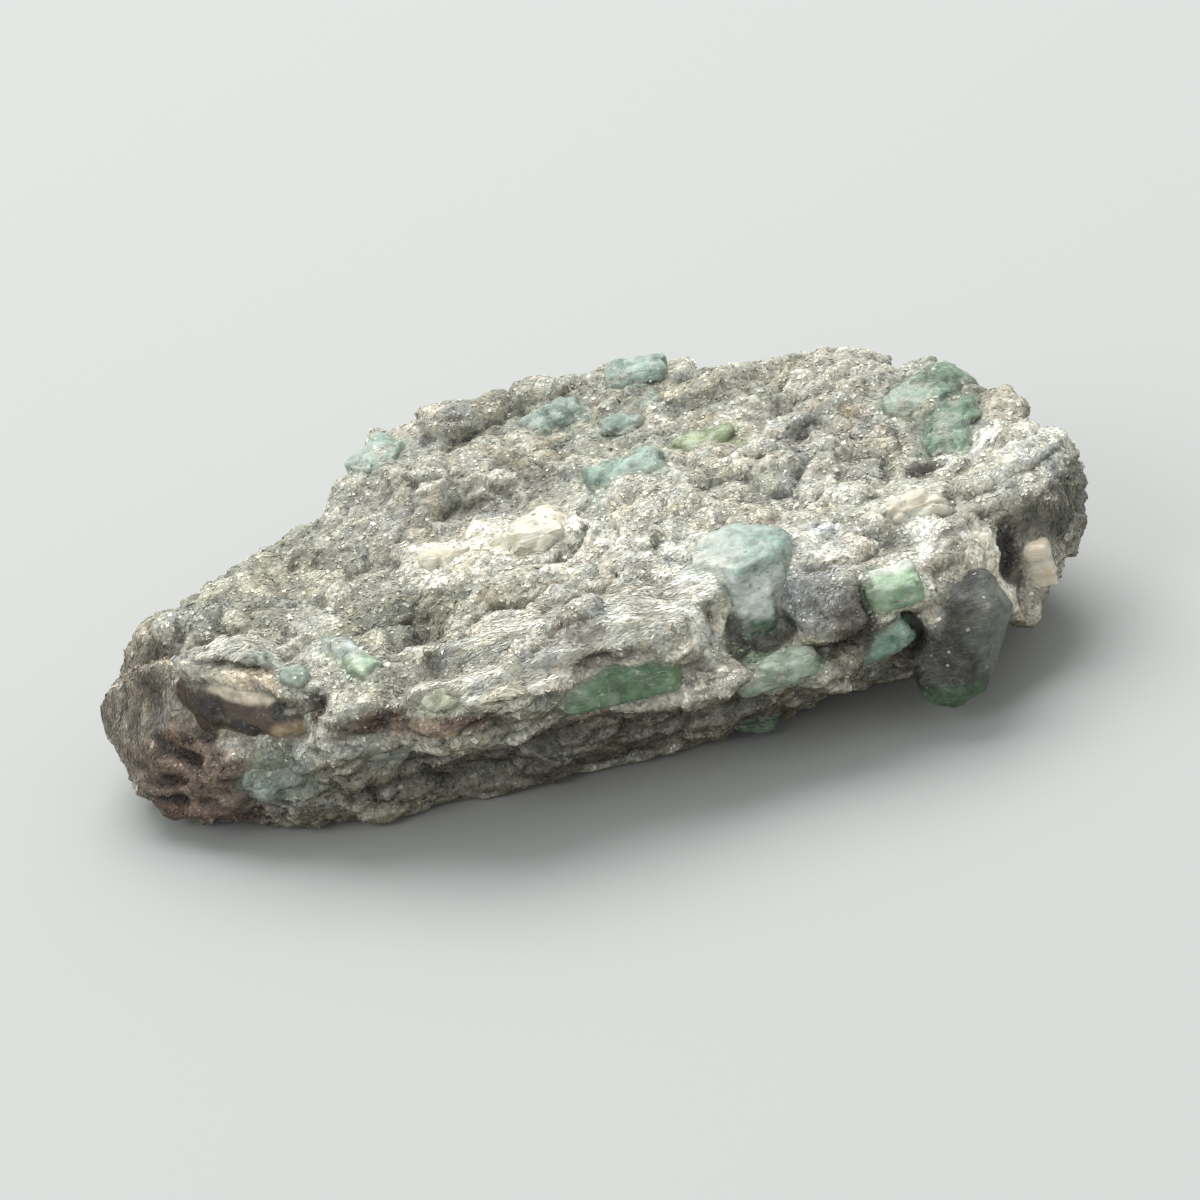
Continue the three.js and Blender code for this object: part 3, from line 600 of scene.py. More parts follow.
# Its fine surface: corners, quads, the painted shade of its hollows and painted light of its bumps,
# and how far from which crystal.
Surface = namedtuple("Surface", "points quads hollow away which")


def ledge(level, spacing, sharp=0.72):
    """A saw-tooth from 0 to 1: a slow rise and a quick fall, once for each layer."""
    phase = level / spacing - np.floor(level / spacing)
    return np.where(phase < sharp, phase / sharp, (1 - phase) / (1 - sharp))


# How fast the level across the layers rises along each axis.
LAYER_RISE = np.array([0.05, 0.16, 1.0])


def layer_level(p):
    """Height across the rock's layers, which dip and wander."""
    wander = 0.9 * noise(p, (9, 9, 5), 7) + 0.7 * noise(p, (3.4, 3.4, 2.4), 8)
    return p[:, 2] + LAYER_RISE[0] * p[:, 0] + LAYER_RISE[1] * p[:, 1] + wander


LAYER_NORMAL = LAYER_RISE / np.linalg.norm(LAYER_RISE)
TINT_PLACES = {name: place for name, _, _, *place in TINTS}
RIDGES = ["ridge, left run", "ridge, right run", "saddle", "second ridge"]
FIBRES = ["left end", "chunk front"]
FOLDS = ["lower left", "foot of the left end"]
# How much of the relief is gone at these places, and how much thinner flakes lie.
CALM = {
    "slope": 0.8,
    "lobe": 0.8,
    "boulder": 0.5,
    "granular face": 0.6,
    "boulder's top": 0.5,
    "cream over the lens": 0.8,
}
SPARSE = {"slope": 0.75, "lower left": 0.3}


def in_zones(p, names):
    """How far each point is in any of the named places, from 0 to 1."""
    return np.clip(sum(in_zone(p, *TINT_PLACES[name]) for name in names), 0, 1)


def rock_relief(p, normal):
    """How far the surface stands out of the smoothed solid, in millimetres."""
    side = 1 - np.abs(normal @ LAYER_NORMAL)
    level = layer_level(p)
    moved = p + 0.8 * np.stack([layered(p, 2.6, 61 + 3 * k, 2) for k in range(3)], axis=1)
    rise = 0.85 * blocks(moved, (3.9, 2.9, 2.0), 60, 1.2)
    rise += 0.32 * blocks(moved, (1.7, 1.3, 0.9), 70, 1.0) + 0.12 * blocks(p, 0.8, 75, 0.8)
    rise += 0.2 * layered(p, 1.8, 80) + 0.08
    rise += side * (0.26 * (ledge(level, 1.2) - 0.5) + 0.1 * (ledge(level, 0.45) - 0.5))

    # Silky streaks run along the ridges instead of the blocks.
    streak = 0.22 * noise(p, (3.6, 0.6, 0.5), 90) + 0.08 * noise(p, (1.8, 0.36, 0.36), 91)
    rise += in_zones(p, RIDGES) * (streak - 0.72 * rise)

    # Upright fibres at the left end and on the chunk.
    fibres = 0.3 * noise(p, (0.55, 0.55, 4.5), 92) + 0.3 * layered(p, (1.6, 1.6, 3.0), 93)
    rise += in_zones(p, FIBRES) * (fibres - 0.8 * rise)

    # Wrinkles with grit in them at the lower left.
    folds = in_zones(p, FOLDS)
    wrinkles = 0.5 - np.abs(noise(bent(p, 0.9, 2.2, 96), (2.4, 2.4, 0.75), 94)) * 1.6
    grit = 0.2 * layered(p, (1.6, 1.6, 0.7), 95) + 0.18 * layered(p, (0.8, 0.8, 0.5), 99, 2)
    rise += folds * (0.8 * wrinkles + grit - 0.6 * rise)

    for name, share in CALM.items():
        rise *= 1 - share * in_zones(p, [name])
    return rise


def rock_skin(solids):
    """The smoothed rock with its sockets filled, so that it runs on through the crystals."""
    corners, faces = solid_of("schist_matrix")
    grown = {}
    for node, (more, sides) in solids.items():
        middle = (more.min(0) + more.max(0)) / 2
        reach = np.linalg.norm(more - middle, axis=1, keepdims=True)
        more = middle + (more - middle) * (1 + FILL_GROWTH / reach)
        grown[node] = more, sides
        faces = faces + [[len(corners) + k for k in side] for side in sides]
        corners = np.r_[corners, more]
    points, quads = largest_shell(*remeshed(corners, faces, FILL_VOXEL))
    away, _, _ = from_crystals(points, grown, FILL_REACH)
    loose = np.where(away < FILL_REACH - FILL_GROWTH, 1.0, 0.0)
    points = relax(points, quads, FILL_ROUNDS, loose)
    away, out, _ = from_crystals(points, solids, FILL_REACH)
    points -= out * (loose * np.clip(away + FILL_DEPTH, 0, FILL_MOST))[:, None]
    points = relax(points, quads, SEAM_ROUNDS, loose)
    points, quads = largest_shell(*remeshed(points, quads.tolist(), ROCK_VOXEL))
    return relax(points, quads, ROCK_SMOOTHING), quads


def rock_surface(solids, crystals):
    """The rock's skin with its relief and dents, resting on the floor."""
    points, quads = rock_skin(solids)
    normal = quad_normals(points, quads)
    away, _, _ = from_crystals(points, crystals, RIM_REACH)
    free = 0.2 + 0.8 * smooth(away / RIM_REACH)
    rise = (rock_relief(points, normal) - SETTLE) * free - dent_depth(points)
    points += normal * (rise * smooth(points[:, 2] / FOOT_HEIGHT))[:, None]
    points[:, 2] = np.maximum(points[:, 2], 0)
    normal = quad_normals(points, quads)
    # Painted shade for the hollows and painted light for the bumps, measured against smoothed
    # copies of the surface.
    hollow = np.zeros(len(points))
    for rounds, strength, least, most in PAINTED_RELIEF_SHADE:
        depth = ((relax(points, quads, rounds) - points) * normal).sum(1)
        hollow += strength * np.clip(depth, least, most)
    away, _, which = from_crystals(points, crystals, RIM_REACH)
    return Surface(points, quads, hollow, away, which)


# Materials

class Look:
    """A material's nodes, with coordinates in millimetres."""

    def __init__(self, name):
        self.material = bpy.data.materials.new(name)
        self.material.use_nodes = True
        self.tree = self.material.node_tree
        self.tree.nodes.clear()
        self.output = self.node("ShaderNodeOutputMaterial")
        self.shader = self.node("ShaderNodeBsdfPrincipled")
        self.link(self.shader.outputs["BSDF"], self.output.inputs["Surface"])
        place = self.node("ShaderNodeTexCoord").outputs["Object"]
        scale = self.node("ShaderNodeVectorMath", {0: place, "Scale": 1 / MM}, operation="SCALE")
        self.place = scale.outputs["Vector"]

    def node(self, kind, sockets=(), **settings):
        """A node with its settings made and values or links put into its sockets."""
        made = self.tree.nodes.new(kind)
        for key, value in settings.items():
            setattr(made, key, value)
        for key, value in dict(sockets).items():
            self.put(made.inputs[key], value)
        return made

    def link(self, start, end):
        self.tree.links.new(start, end)

    def put(self, socket, value):
        """Gives a socket a link, a number, a colour or a hex colour."""
        if isinstance(value, bpy.types.NodeSocket):
            self.link(value, socket)
        else:
            socket.default_value = rgba(value) if isinstance(value, str) else value

    def stretched(self, scale, warp=0.0, warp_size=1.0):
        """Coordinates multiplied by scale on each axis, bent by noise."""
        place = self.place
        if warp:
            bend = self.node("ShaderNodeTexNoise", {"Vector": place, "Scale": 1 / warp_size})
            sockets = {0: bend.outputs["Color"], 1: (warp,) * 3, 2: place}
            bent = self.node("ShaderNodeVectorMath", sockets, operation="MULTIPLY_ADD")
            place = bent.outputs["Vector"]
        times = self.node("ShaderNodeVectorMath", {0: place, 1: scale}, operation="MULTIPLY")
        return times.outputs["Vector"]

    def noise(self, scale, detail, rough=0.55, place=None):
        place = place or self.place
        sockets = {"Vector": place, "Scale": scale, "Detail": detail, "Roughness": rough}
        return self.node("ShaderNodeTexNoise", sockets).outputs["Fac"]

    def cells(self, scale, place):
        """A colour at random for each cell."""
        sockets = {"Vector": place, "Scale": scale}
        return self.node("ShaderNodeTexVoronoi", sockets).outputs["Color"]

    def stops(self, factor, *stops):
        """A ramp of (position, number) stops."""
        ramp = self.node("ShaderNodeValToRGB", {"Fac": factor})
        marks = ramp.color_ramp.elements
        while len(marks) < len(stops):
            marks.new(0.5)
        for mark, (position, value) in zip(marks, stops):
            mark.position = position
            mark.color = (value, value, value, 1)
        return ramp.outputs["Color"]

    def mix(self, factor, first, second, kind="MIX"):
        """Two colours mixed: sockets 6 and 7 of a Mix node take them, and 2 gives one."""
        sockets = {0: factor, 6: first, 7: second}
        settings = {"data_type": "RGBA", "blend_type": kind, "clamp_factor": True}
        return self.node("ShaderNodeMix", sockets, **settings).outputs[2]

    def math(self, operation, first, second):
        return self.node("ShaderNodeMath", {0: first, 1: second}, operation=operation).outputs[0]

    def attribute(self, name, output="Fac"):
        """A value of the mesh, or its Color."""
        return self.node("ShaderNodeAttribute", attribute_name=name).outputs[output]

    def bump(self, height, distance, strength):
        """Roughens the shader by a height, over a distance in millimetres."""
        sockets = {"Height": height, "Distance": distance * MM, "Strength": strength}
        made = self.node("ShaderNodeBump", sockets)
        self.link(made.outputs["Normal"], self.shader.inputs["Normal"])

    def set(self, **sockets):
        """Sets the shader's sockets, with _ for a space in a name."""
        for key, value in sockets.items():
            self.put(self.shader.inputs[key.replace("_", " ")], value)


def rock_look():
    look = Look("mica_schist")
    tint = look.attribute("tint", "Color")
    felt = look.cells(5.0, look.stretched((1, 1, 1), 0.3, 0.4))
    grey = look.node("ShaderNodeSeparateColor", {0: felt})
    grain = look.stops(grey.outputs[0], (0.0, 0.55), (0.3, 0.8), (0.7, 1.0), (1.0, 1.2))
    colour = look.mix(1.0, tint, grain, "MULTIPLY")
    dark = look.stops(look.noise(2.2, 5.0, 0.7), (0.36, 0.6), (0.52, 1.0))
    colour = look.mix(1.0, colour, dark, "MULTIPLY")
    rough = look.stops(grey.outputs[1], (0.0, 0.8), (0.8, 0.5), (1.0, 0.28))
    look.set(Base_Color=colour, Roughness=rough, Specular_IOR_Level=0.6)
    look.bump(look.noise(5.0, 4.0, 0.7), 0.16, 0.9)
    return look.material


def flake_look():
    look = Look("mica_flakes")
    tint = look.attribute("tint", "Color")
    worn = look.stops(look.noise(3.0, 3.0), (0.3, 0.9), (0.7, 1.06))
    colour = look.mix(1.0, tint, worn, "MULTIPLY")
    look.set(
        Base_Color=colour,
        Roughness=look.attribute("gloss"),
        Metallic=0.2,
        Specular_IOR_Level=0.7,
    )
    return look.material


# Beryl: how much light goes through, roughness, shine, and strength of pale veins and frost.
BERYL = {
    "emerald_bright": (0.3, 0.16, 0.5, 0.7, 0.25),
    "emerald_pale": (0.1, 0.3, 0.5, 0.3, 0.4),
    "emerald_mint": (0.2, 0.28, 0.5, 0.2, 0.45),
    "emerald_teal": (0.15, 0.3, 0.5, 0.3, 0.5),
    "emerald_olive": (0.1, 0.34, 0.5, 0.2, 0.45),
    "beryl_dark": (0.0, 0.28, 0.35, 0.07, 0.06),
}
BERYL_IOR = 1.58
QUARTZ_IOR = 1.54
ABSORPTION_PER_METRE = 300.0
ABSORPTION_COLOUR = "8fb498"
FROST_COLOUR = "d4dad0"
VEIN_COLOUR = "d9e0d2"
OCHRE_STAIN = "b89c68"


def veiled(look, body):
    """The colour of a crystal with mica dust over it, and how much dust there is."""
    fine = look.noise(3.2, 5.0, 0.75, look.stretched((0.7, 1.2, 1.2)))
    dust = look.math("ADD", look.attribute("veil"), look.math("MULTIPLY", fine, 1.5))
    dust = look.stops(look.math("MULTIPLY", dust, 0.5), (0.42, 0.0), (0.72, 1.0))
    return look.mix(dust, body, look.attribute("dust", "Color")), dust


def beryl_look(slot):
    clear, rough, shine, veined, frosted = BERYL[slot]
    look = Look(slot)
    cloud = look.noise(0.9, 6.0, 0.62, look.stretched((1, 1, 1), 0.8, 2.0))
    cloud = look.stops(cloud, (0.34, 0.5), (0.66, 1.4))
    body = look.mix(1.0, look.attribute("tint", "Color"), cloud, "MULTIPLY")
    frost = look.noise(0.8, 6.0, 0.7, look.stretched((1, 1.4, 1.4), 0.8, 1.4))
    frost = look.stops(frost, (0.48, 0.0), (0.62, 1.0))
    body = look.mix(look.math("MULTIPLY", frost, frosted), body, FROST_COLOUR)
    thread = look.noise(0.5, 4.0, 0.6, look.stretched((0.6, 1.7, 1.7), 1.0, 1.8))
    veins = look.stops(thread, (0.47, 0.0), (0.5, 1.0), (0.53, 0.0))
    broken = look.stops(look.noise(1.1, 3.0), (0.45, 0.0), (0.6, 1.0))
    veins = look.math("MULTIPLY", veins, broken)
    body = look.mix(look.math("MULTIPLY", veins, veined), body, VEIN_COLOUR)
    colour, dust = veiled(look, body)
    look.set(
        Base_Color=colour,
        Roughness=look.math("ADD", look.math("MULTIPLY", dust, 0.3), rough),
        IOR=BERYL_IOR,
        Specular_IOR_Level=shine,
        Transmission_Weight=clear,
        Subsurface_Weight=0.12,
        Subsurface_Radius=(0.4 * MM, 0.7 * MM, 0.5 * MM),
        Subsurface_Scale=1.0,
    )
    look.bump(look.noise(1.4, 6.0, 0.68, look.stretched((1.0, 2.6, 2.6))), 0.2, 0.9)
    sockets = {"Color": ABSORPTION_COLOUR, "Density": ABSORPTION_PER_METRE}
    inside = look.node("ShaderNodeVolumeAbsorption", sockets)
    look.link(inside.outputs[0], look.output.inputs["Volume"])
    return look.material


def feldspar_look():
    look = Look("feldspar")
    layers = look.noise(0.8, 5.0, 0.6, look.stretched((0.6, 1.2, 2.6)))
    layers = look.stops(layers, (0.3, 0.62), (0.55, 1.0))
    body = look.mix(1.0, look.attribute("tint", "Color"), layers, "MULTIPLY")
    stain = look.stops(look.noise(0.9, 4.0, 0.6), (0.52, 0.0), (0.72, 1.0))
    body = look.mix(look.math("MULTIPLY", stain, 0.45), body, OCHRE_STAIN)
    colour, dust = veiled(look, body)
    look.set(
        Base_Color=colour,
        Roughness=look.math("ADD", look.math("MULTIPLY", dust, 0.2), 0.36),
        Subsurface_Weight=0.15,
        Subsurface_Radius=(0.8 * MM, 0.7 * MM, 0.5 * MM),
        Subsurface_Scale=1.0,
    )
    look.bump(look.noise(1.0, 4.0, 0.6, look.stretched((1.0, 2.0, 9.0))), 0.08, 0.9)
    return look.material


def quartz_look():
    look = Look("quartz")
    cloud = look.noise(0.5, 6.0, 0.62, look.stretched((1, 1, 1.6), 0.9, 2.0))
    cloud = look.stops(cloud, (0.34, 0.5), (0.66, 1.45))
    body = look.mix(1.0, look.attribute("tint", "Color"), cloud, "MULTIPLY")
    colour, dust = veiled(look, body)
    look.set(
        Base_Color=colour,
        Roughness=look.math("ADD", look.math("MULTIPLY", dust, 0.3), 0.2),
        IOR=QUARTZ_IOR,
        Specular_IOR_Level=0.35,
        Transmission_Weight=0.1,
    )
    look.bump(look.noise(0.8, 6.0, 0.65), 0.25, 0.8)
    return look.material


# Pieces

# Each crystal's slot, colour, share of its edges that is worn, broken corners, how deep those
# are cut, and the dust on it.
Crystal = namedtuple("Crystal", "slot colour wear chips bite dust")
CRYSTAL_ROWS = {
    "emerald_front_lens": ("emerald_bright", "65875f", 0.15, 0, 0.0, 0.05),
    "emerald_ridge_prism": ("emerald_pale", "8da197", 0.25, 8, 0.08, 0.24),
    "emerald_mint_block": ("emerald_mint", "a3c09c", 0.3, 8, 0.12, 0.0),
    "emerald_teal_piece": ("emerald_teal", "6f8f7c", 0.4, 9, 0.16, 0.05),
    "emerald_dark_prism": ("beryl_dark", "2d2e2b", 0.06, 2, 0.04, 0.08),
    "emerald_ledge_sliver": ("emerald_pale", "8a9a86", 0.4, 8, 0.2, 0.3),
    "emerald_underside_end": ("emerald_bright", "4f6b50", 0.4, 7, 0.16, 0.1),
    "emerald_back_cluster": ("emerald_bright", "6d8a70", 0.55, 10, 0.14, 0.26),
    "emerald_mid_patch": ("emerald_mint", "88a292", 0.6, 10, 0.2, 0.3),
    "emerald_back_left": ("emerald_teal", "75897c", 0.6, 10, 0.2, 0.34),
    "emerald_back_edge": ("emerald_pale", "8ea396", 0.6, 10, 0.2, 0.34),
    "emerald_olive_flat": ("emerald_olive", "97a47c", 0.6, 9, 0.2, 0.3),
    "emerald_plateau_grain": ("emerald_teal", "788c80", 0.6, 9, 0.2, 0.34),
    "emerald_corner": ("emerald_pale", "94a99c", 0.6, 10, 0.2, 0.32),
    "emerald_leaf": ("emerald_mint", "9aac96", 0.35, 5, 0.1, 0.26),
    "emerald_brow_grain": ("emerald_teal", "8a9a8c", 0.6, 7, 0.2, 0.34),
    "emerald_crest_grain": ("emerald_olive", "b0b498", 0.6, 7, 0.2, 0.34),
    "emerald_left_band": ("emerald_teal", "6f7d70", 0.6, 8, 0.2, 0.36),
    "emerald_lower_left": ("emerald_teal", "6c7a70", 0.6, 8, 0.2, 0.36),
    "feldspar_mid_plate": ("feldspar", "cac6b5", 0.6, 9, 0.2, 0.28),
    "feldspar_left_plate": ("feldspar", "c2beae", 0.6, 9, 0.2, 0.32),
    "feldspar_right_plate": ("feldspar", "c2beae", 0.6, 9, 0.2, 0.32),
    "feldspar_recess_wedge": ("feldspar", "cbc2b0", 0.15, 5, 0.14, 0.08),
    "quartz_lens": ("quartz", "44372b", 0.25, 6, 0.06, 0.0),
}
CRYSTALS = {node: Crystal(*row) for node, row in CRYSTAL_ROWS.items()}
# Patches of other colour on the crystals: colour, strength, middle, half sizes and any turn.
CRYSTAL_PATCHES = {
    "emerald_front_lens": [
        ("6f5b48", 0.7, (4.2, -18.6, 10.6), (1.2, 1, 0.5)),
        ("95a48f", 0.6, (-3.4, -18.6, 9.6), (2, 1.4, 1.2)),
        ("3f6a42", 0.75, (1.6, -18, 10.4), (2, 1.4, 0.8)),
        ("c3cdbb", 0.8, (-1.8, -18.2, 11.1), (1.7, 1.2, 0.6)),
    ],
    "emerald_ridge_prism": [
        ("c9cabd", 0.9, (6.8, -12.8, 13.8), (2, 2.6, 0.9)),
        ("a0b0a7", 0.6, (9, -12, 13.9), (2.4, 2.4, 0.8)),
        ("86a397", 0.6, (10.6, -12.4, 13.7), (1.4, 1.6, 0.8)),
        ("e4ece6", 0.9, (9.4, -14.6, 11.4), (3, 1.2, 1.7)),
        ("c9d2ca", 0.7, (7, -13.7, 11.4), (1.4, 1.6, 1.8)),
        ("50704f", 0.9, (8.8, -14.8, 8.4), (2.4, 1.6, 1.3)),
    ],
    "emerald_mint_block": [
        ("e6e9df", 0.95, (17.1, -14.6, 12.1), (2.6, 2.4, 0.9)),
        ("5f8a5f", 0.5, (17.6, -16.6, 9.6), (1.2, 1, 0.9)),
    ],
    "emerald_dark_prism": [
        ("666a62", 0.85, (22.9, -15.5, 5.4), (1.7, 2.8, 4)),
        ("3d5a3c", 0.9, (19.6, -16.6, 2.6), (2, 2, 1.3)),
        ("55524a", 0.5, (20.2, -16.8, 8.6), (2.4, 1.4, 1.2)),
    ],
    "emerald_back_cluster": [
        # Pale face: its own pale mint with a painted highlight on it.
        ("b4c2b2", 0.8, (20.6, 3, 13.6), (2.2, 1.8, 1.2), 20),
        ("4f6e53", 0.7, (23.6, 3.4, 12.6), (2, 1.4, 1.4), 20),
        ("9db39d", 0.6, (23.6, -1.4, 13), (1.6, 1.6, 1)),
    ],
    "emerald_mid_patch": [
        ("557a60", 0.7, (3.2, 0.4, 12.8), (1.8, 0.8, 1), 16),
        ("a9bdae", 0.6, (4.4, 2.4, 13.2), (1.8, 1.2, 0.8), 16),
    ],
    "emerald_leaf": [
        ("a4aeab", 0.8, (-15.7, -9.5, 11.4), (2.2, 2.6, 1)),
        ("90ac86", 0.8, (-14.2, -14.2, 11.4), (1.4, 1.9, 0.9)),
        ("dfe4da", 0.5, (-14.9, -12.6, 11.8), (0.35, 2, 0.6), 8),
    ],
    "quartz_lens": [
        ("cbbfa9", 0.95, (-21.6, -12.2, 10.5), (3.6, 1.4, 0.65), -37),
        ("241f1d", 0.95, (-24.2, -10.9, 9.1), (1.3, 1, 0.8), -37),
        ("24211f", 0.95, (-22.3, -12.9, 8.2), (1.6, 1, 0.7), -37),
        ("a08c6e", 0.9, (-19.4, -14.5, 8.5), (1.5, 1.2, 0.75), -37),
        # Painted shade in the dark hole at the lens's right end.
        ("12100f", 1, (-19.8, -14, 9.8), (0.8, 1, 0.6), -37),
    ],
}


def crystal_tint(node, points):
    tone = np.ones((len(points), 1)) * linear(CRYSTALS[node].colour)
    for n, (colour, strength, *place) in enumerate(CRYSTAL_PATCHES.get(node, [])):
        amount = strength * in_zone(points, *place, seed=150 + n)
        tone += (linear(colour) - tone) * amount[:, None]
    return tone


# Share of a crystal's colour in the rock beside it, the crystals that leave none, and the
# colour of mica dust.
STAIN = 0.6
UNSTAINED = ["emerald_dark_prism", "emerald_front_lens", "quartz_lens"]
DUST_TONE = "c9c9bd"


def stained(tone, surface):
    """The rock's colours with some of a crystal's colour beside it."""
    stains = np.array([node not in UNSTAINED for node in CRYSTAL_NODES])
    colours = np.array([linear(CRYSTALS[node].colour) for node in CRYSTAL_NODES])
    ragged = 0.5 - surface.away + 0.5 * layered(surface.points, 1.2, 165)
    amount = STAIN * stains[surface.which] * smooth(ragged / 0.8)
    return tone + (colours[surface.which] - tone) * amount[:, None]


def build_rock(surface, tint, material):
    rock = make_mesh("schist_surface", surface.points, surface.quads, {"tint": tint})
    dress(rock, material, "mica_schist", "schist_matrix")


def mica_cover(points, height, dust):
    """How much mica lies on a crystal, along its border and in patches, from 0 to 1."""
    rim = np.clip(1 - height / VEIL_REACH, 0, 1) * (1 + 0.8 * layered(points, 1.0, 161))
    rim *= min(1, 0.4 + 2 * dust)
    patches = smooth((layered(points, 1.6, 160) - (0.55 - 1.1 * dust)) / 0.25)
    return np.clip(rim + 0.8 * patches, 0, 1)


def build_crystals(crystals, surface):
    """Makes the crystals, and returns how thick flakes lie on each and in what colour."""
    looks = {slot: beryl_look(slot) for slot in BERYL}
    looks["feldspar"] = feldspar_look()
    looks["quartz"] = quartz_look()
    tree = BVHTree.FromPolygons(surface.points.tolist(), surface.quads.tolist())
    covers = {}
    for node, (points, quads) in crystals.items():
        kind = CRYSTALS[node]
        height, _ = signed_distance(points, tree, ROCK_REACH)
        veil = mica_cover(points, height, kind.dust)
        # The dust takes the rock's colours here, with their painted shade in dents and on faces
        # that look down.
        dust = rock_tint(points, quad_normals(points, quads), np.zeros(len(points)))
        dust += (linear(DUST_TONE) - dust) * 0.2
        dust += (linear(kind.colour) - dust) * 0.25
        layers = {"tint": crystal_tint(node, points), "dust": dust, "veil": veil}
        piece = make_mesh(node + "_crystal", points, quads, layers)
        dress(piece, looks[kind.slot], kind.slot, node)
        thick = 0.2 * kind.dust + 1.1 * smooth((veil - 0.25) / 0.6)
        covers[node] = thick * (height > -0.1), dust
    return covers


# Mica flakes

def scatter(points, quads, weight, count, rng):
    """Places and normals spread evenly over quads, by weight, and a corner near each."""
    face = quad_faces(points, quads)
    area = np.linalg.norm(face, axis=1)
    share = area * weight[quads].mean(1)
    chosen = np.sort(rng.choice(len(quads), count, p=share / share.sum()))
    u, v = rng.random((2, count, 1))
    a, b, c, d = (points[quads[chosen, k]] for k in range(4))
    at = (a * (1 - u) + b * u) * (1 - v) + (d * (1 - u) + c * u) * v
    return at, face[chosen] / np.maximum(area[chosen, None], 1e-9), quads[chosen, 0]


def flake_mesh(at, up, along, length, width, rng):
    """Corners and triangles of irregular four-sided plates, each closed by a point below."""
    count = len(at)
    across = np.cross(up, along)
    ring = []
    for k in range(FLAKE_SIDES):
        angle = (k + 0.5 * rng.random(count)) * 2 * math.pi / FLAKE_SIDES
        reach = rng.uniform(0.75, 1.1, count)
        ring.append(
            at
            + along * (np.cos(angle) * reach * length / 2)[:, None]
            + across * (np.sin(angle) * reach * width / 2)[:, None]
        )
    tip = at - up * (FLAKE_DEPTH * width)[:, None]
    corners = np.stack([*ring, tip], axis=1).reshape(-1, 3)
    first = np.arange(count)[:, None] * (FLAKE_SIDES + 1)
    plate = [(0, 1, 2), (0, 2, 3)]
    walls = [((k + 1) % FLAKE_SIDES, k, FLAKE_SIDES) for k in range(FLAKE_SIDES)]
    faces = (first[:, None] + np.array([plate + walls])).reshape(-1, 3)
    return corners, faces


def flake_ground(surface, tint, crystals, covers):
    """All that flakes lie on: corners, quads, colours and how thick they lie."""
    points, quads, _, away, _ = surface
    weight = 0.9 + 1.3 * in_zones(points, RIDGES) + in_zones(points, FIBRES)
    weight += 0.4 * (points[:, 1] < 0)
    weight *= math.prod(1 - share * in_zones(points, [name]) for name, share in SPARSE.items())
    weight *= smooth((away + 0.1) / 0.2) * np.where(points[:, 2] < 0.5, 0, 1)
    for node, (more, sides) in crystals.items():
        cover, dust = covers[node]
        quads = np.r_[quads, sides + len(points)]
        points = np.r_[points, more]
        tint = np.r_[tint, dust]
        weight = np.r_[weight, cover]
    return points, quads, tint, weight


def build_flakes(ground, material):
    """Scatters flakes with their lean, run, size and colour, and makes the pieces."""
    rng = np.random.default_rng(SEED)
    points, quads, tints, weight = ground
    total = FLAKES_A_PIECE * len(FLAKE_PIECES)
    at, up, corner = scatter(points, quads, weight, total, rng)

    silky, fibrous = in_zones(at, [*RIDGES, "brow"]), in_zones(at, FIBRES)
    tidy = np.maximum(silky, fibrous)
    gritty = in_zones(at, ["granular face"])
    tilt = rng.normal(0, 1, (total, 3)) * (0.16 - 0.1 * silky + 0.25 * gritty)[:, None]
    upward = 0.25 * np.clip(up @ LAYER_NORMAL, 0, 1) * (1 - fibrous)
    lean = up + tilt + upward[:, None] * LAYER_NORMAL
    lean /= np.linalg.norm(lean, axis=1, keepdims=True)
    grain = np.array([1.0, 0.1, 0.1]) + fibrous[:, None] * np.array([-0.8, 0.0, 1.0])
    run = grain + rng.normal(0, 1, (total, 3)) * (1.2 - 0.95 * tidy)[:, None]
    run -= lean * (run * lean).sum(1, keepdims=True)
    run /= np.linalg.norm(run, axis=1, keepdims=True)

    size = rng.lognormal(math.log(FLAKE_SIZE), FLAKE_SPREAD, total) * (1 - 0.35 * gritty)
    width = np.clip(size * (1 - 0.5 * tidy), *FLAKE_WIDTHS)
    length = np.clip(size * (1.15 + 2.2 * silky + fibrous), *FLAKE_LENGTHS)

    shares, tones, roughs = (np.array(column) for column in zip(*FLAKE_KINDS))
    kinds = rng.choice(len(FLAKE_KINDS), total, p=shares)
    tone = tones[kinds] * rng.uniform(0.88, 1.12, total)
    streak = noise(at, (3.0, 0.4, 0.4), 170)
    tone *= 1 + 0.35 * silky * streak + gritty * rng.uniform(-0.3, 0.3, total)
    tone *= 1 + 0.6 * fibrous * noise(at, (0.4, 0.4, 3.5), 172)
    gloss = roughs[kinds]
    tint = np.clip(tints[corner] * tone[:, None], DARKEST_FLAKE, LIGHTEST)
    at += up * rng.uniform(-0.03, 0.04, total)[:, None]

    order = np.argsort(flake_region(at), kind="stable")
    for name, part in zip(FLAKE_PIECES, np.array_split(order, len(FLAKE_PIECES))):
        corners, faces = flake_mesh(at[part], lean[part], run[part], length[part], width[part], rng)
        layers = {"tint": tint[part], "gloss": gloss[part]}
        layers = {key: np.repeat(rows, FLAKE_SIDES + 1, axis=0) for key, rows in layers.items()}
        piece = make_mesh("mica_flakes_" + name, corners, faces, layers, smooth_faces=False)
        dress(piece, material, "mica_schist")


def flake_region(p):
    """Low at the front and high at the back, to sort the flakes into pieces."""
    return p[:, 1] - 0.6 * p[:, 2]


# Stage

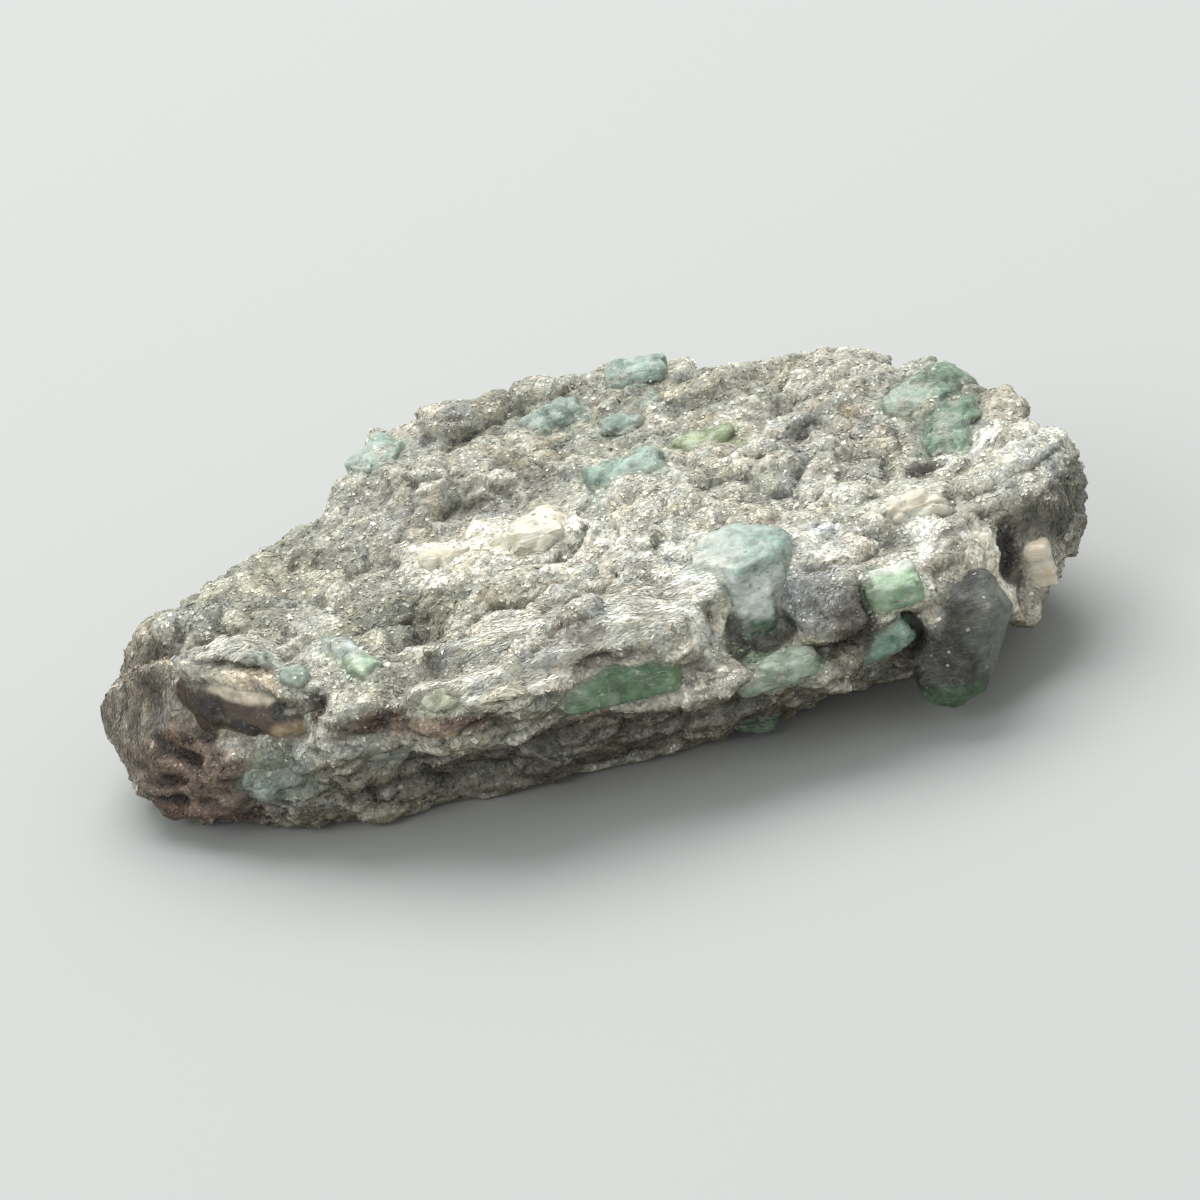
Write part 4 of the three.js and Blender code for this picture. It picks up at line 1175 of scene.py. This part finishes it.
def build_stage():
    look = Look("floor")
    look.set(Base_Color=FLOOR_COLOUR, Roughness=0.9, Specular_IOR_Level=0.1)
    bm = bmesh.new()
    bmesh.ops.create_grid(bm, x_segments=2, y_segments=2, size=FLOOR_HALF)
    mesh = bpy.data.meshes.new("floor")
    bm.to_mesh(mesh)
    bm.free()
    mesh.materials.append(look.material)
    floor = placed("floor", mesh)
    floor.location.z = -FLOOR_DROP * MM


def area_light(name, at, size, power):
    """A white disk that shines on the specimen."""
    data = bpy.data.lights.new(name, "AREA")
    data.shape = "DISK"
    data.size = size
    data.energy = power
    lamp = placed(name, data)
    lamp.location = at
    lamp.rotation_euler = (-Vector(at)).to_track_quat("-Z", "Y").to_euler()


def build_light():
    world = bpy.data.worlds.new("pale_room")
    world.use_nodes = True
    background = world.node_tree.nodes["Background"]
    background.inputs["Color"].default_value = rgba(ROOM_COLOUR)
    background.inputs["Strength"].default_value = ROOM_STRENGTH
    bpy.context.scene.world = world
    for light in LIGHTS:
        area_light(*light)


def build_camera():
    e, r = VIEW_ELEVATION * DEG, VIEW_ROLL * DEG
    forward = np.array([0, math.cos(e), -math.sin(e)])
    side, up = np.array([1.0, 0, 0]), np.array([0, math.sin(e), math.cos(e)])
    right = side * math.cos(r) - up * math.sin(r)
    above = side * math.sin(r) + up * math.cos(r)
    at = (VIEW_TARGET + ORIGIN - forward * VIEW_DISTANCE) * MM
    data = bpy.data.cameras.new("camera")
    data.lens = LENS
    data.sensor_width = SENSOR
    data.clip_start, data.clip_end = CLIP
    camera = placed("camera", data)
    camera.matrix_world = Matrix(
        [[right[i], above[i], -forward[i], at[i]] for i in range(3)] + [[0, 0, 0, 1]]
    )
    bpy.context.scene.camera = camera


bpy.context.scene.view_settings.view_transform = "Standard"
build_camera()
build_light()
build_stage()
solids = {node: solid_of(node) for node in CRYSTAL_NODES}
crystals = {node: worn_crystal(node) for node in CRYSTAL_NODES}
surface = rock_surface(solids, crystals)
rock_normal = quad_normals(surface.points, surface.quads)
rock_colours = rock_tint(surface.points, rock_normal, surface.hollow)
rock_colours = stained(rock_colours, surface)
build_rock(surface, rock_colours, rock_look())
covers = build_crystals(crystals, surface)
build_flakes(flake_ground(surface, rock_colours, crystals, covers), flake_look())
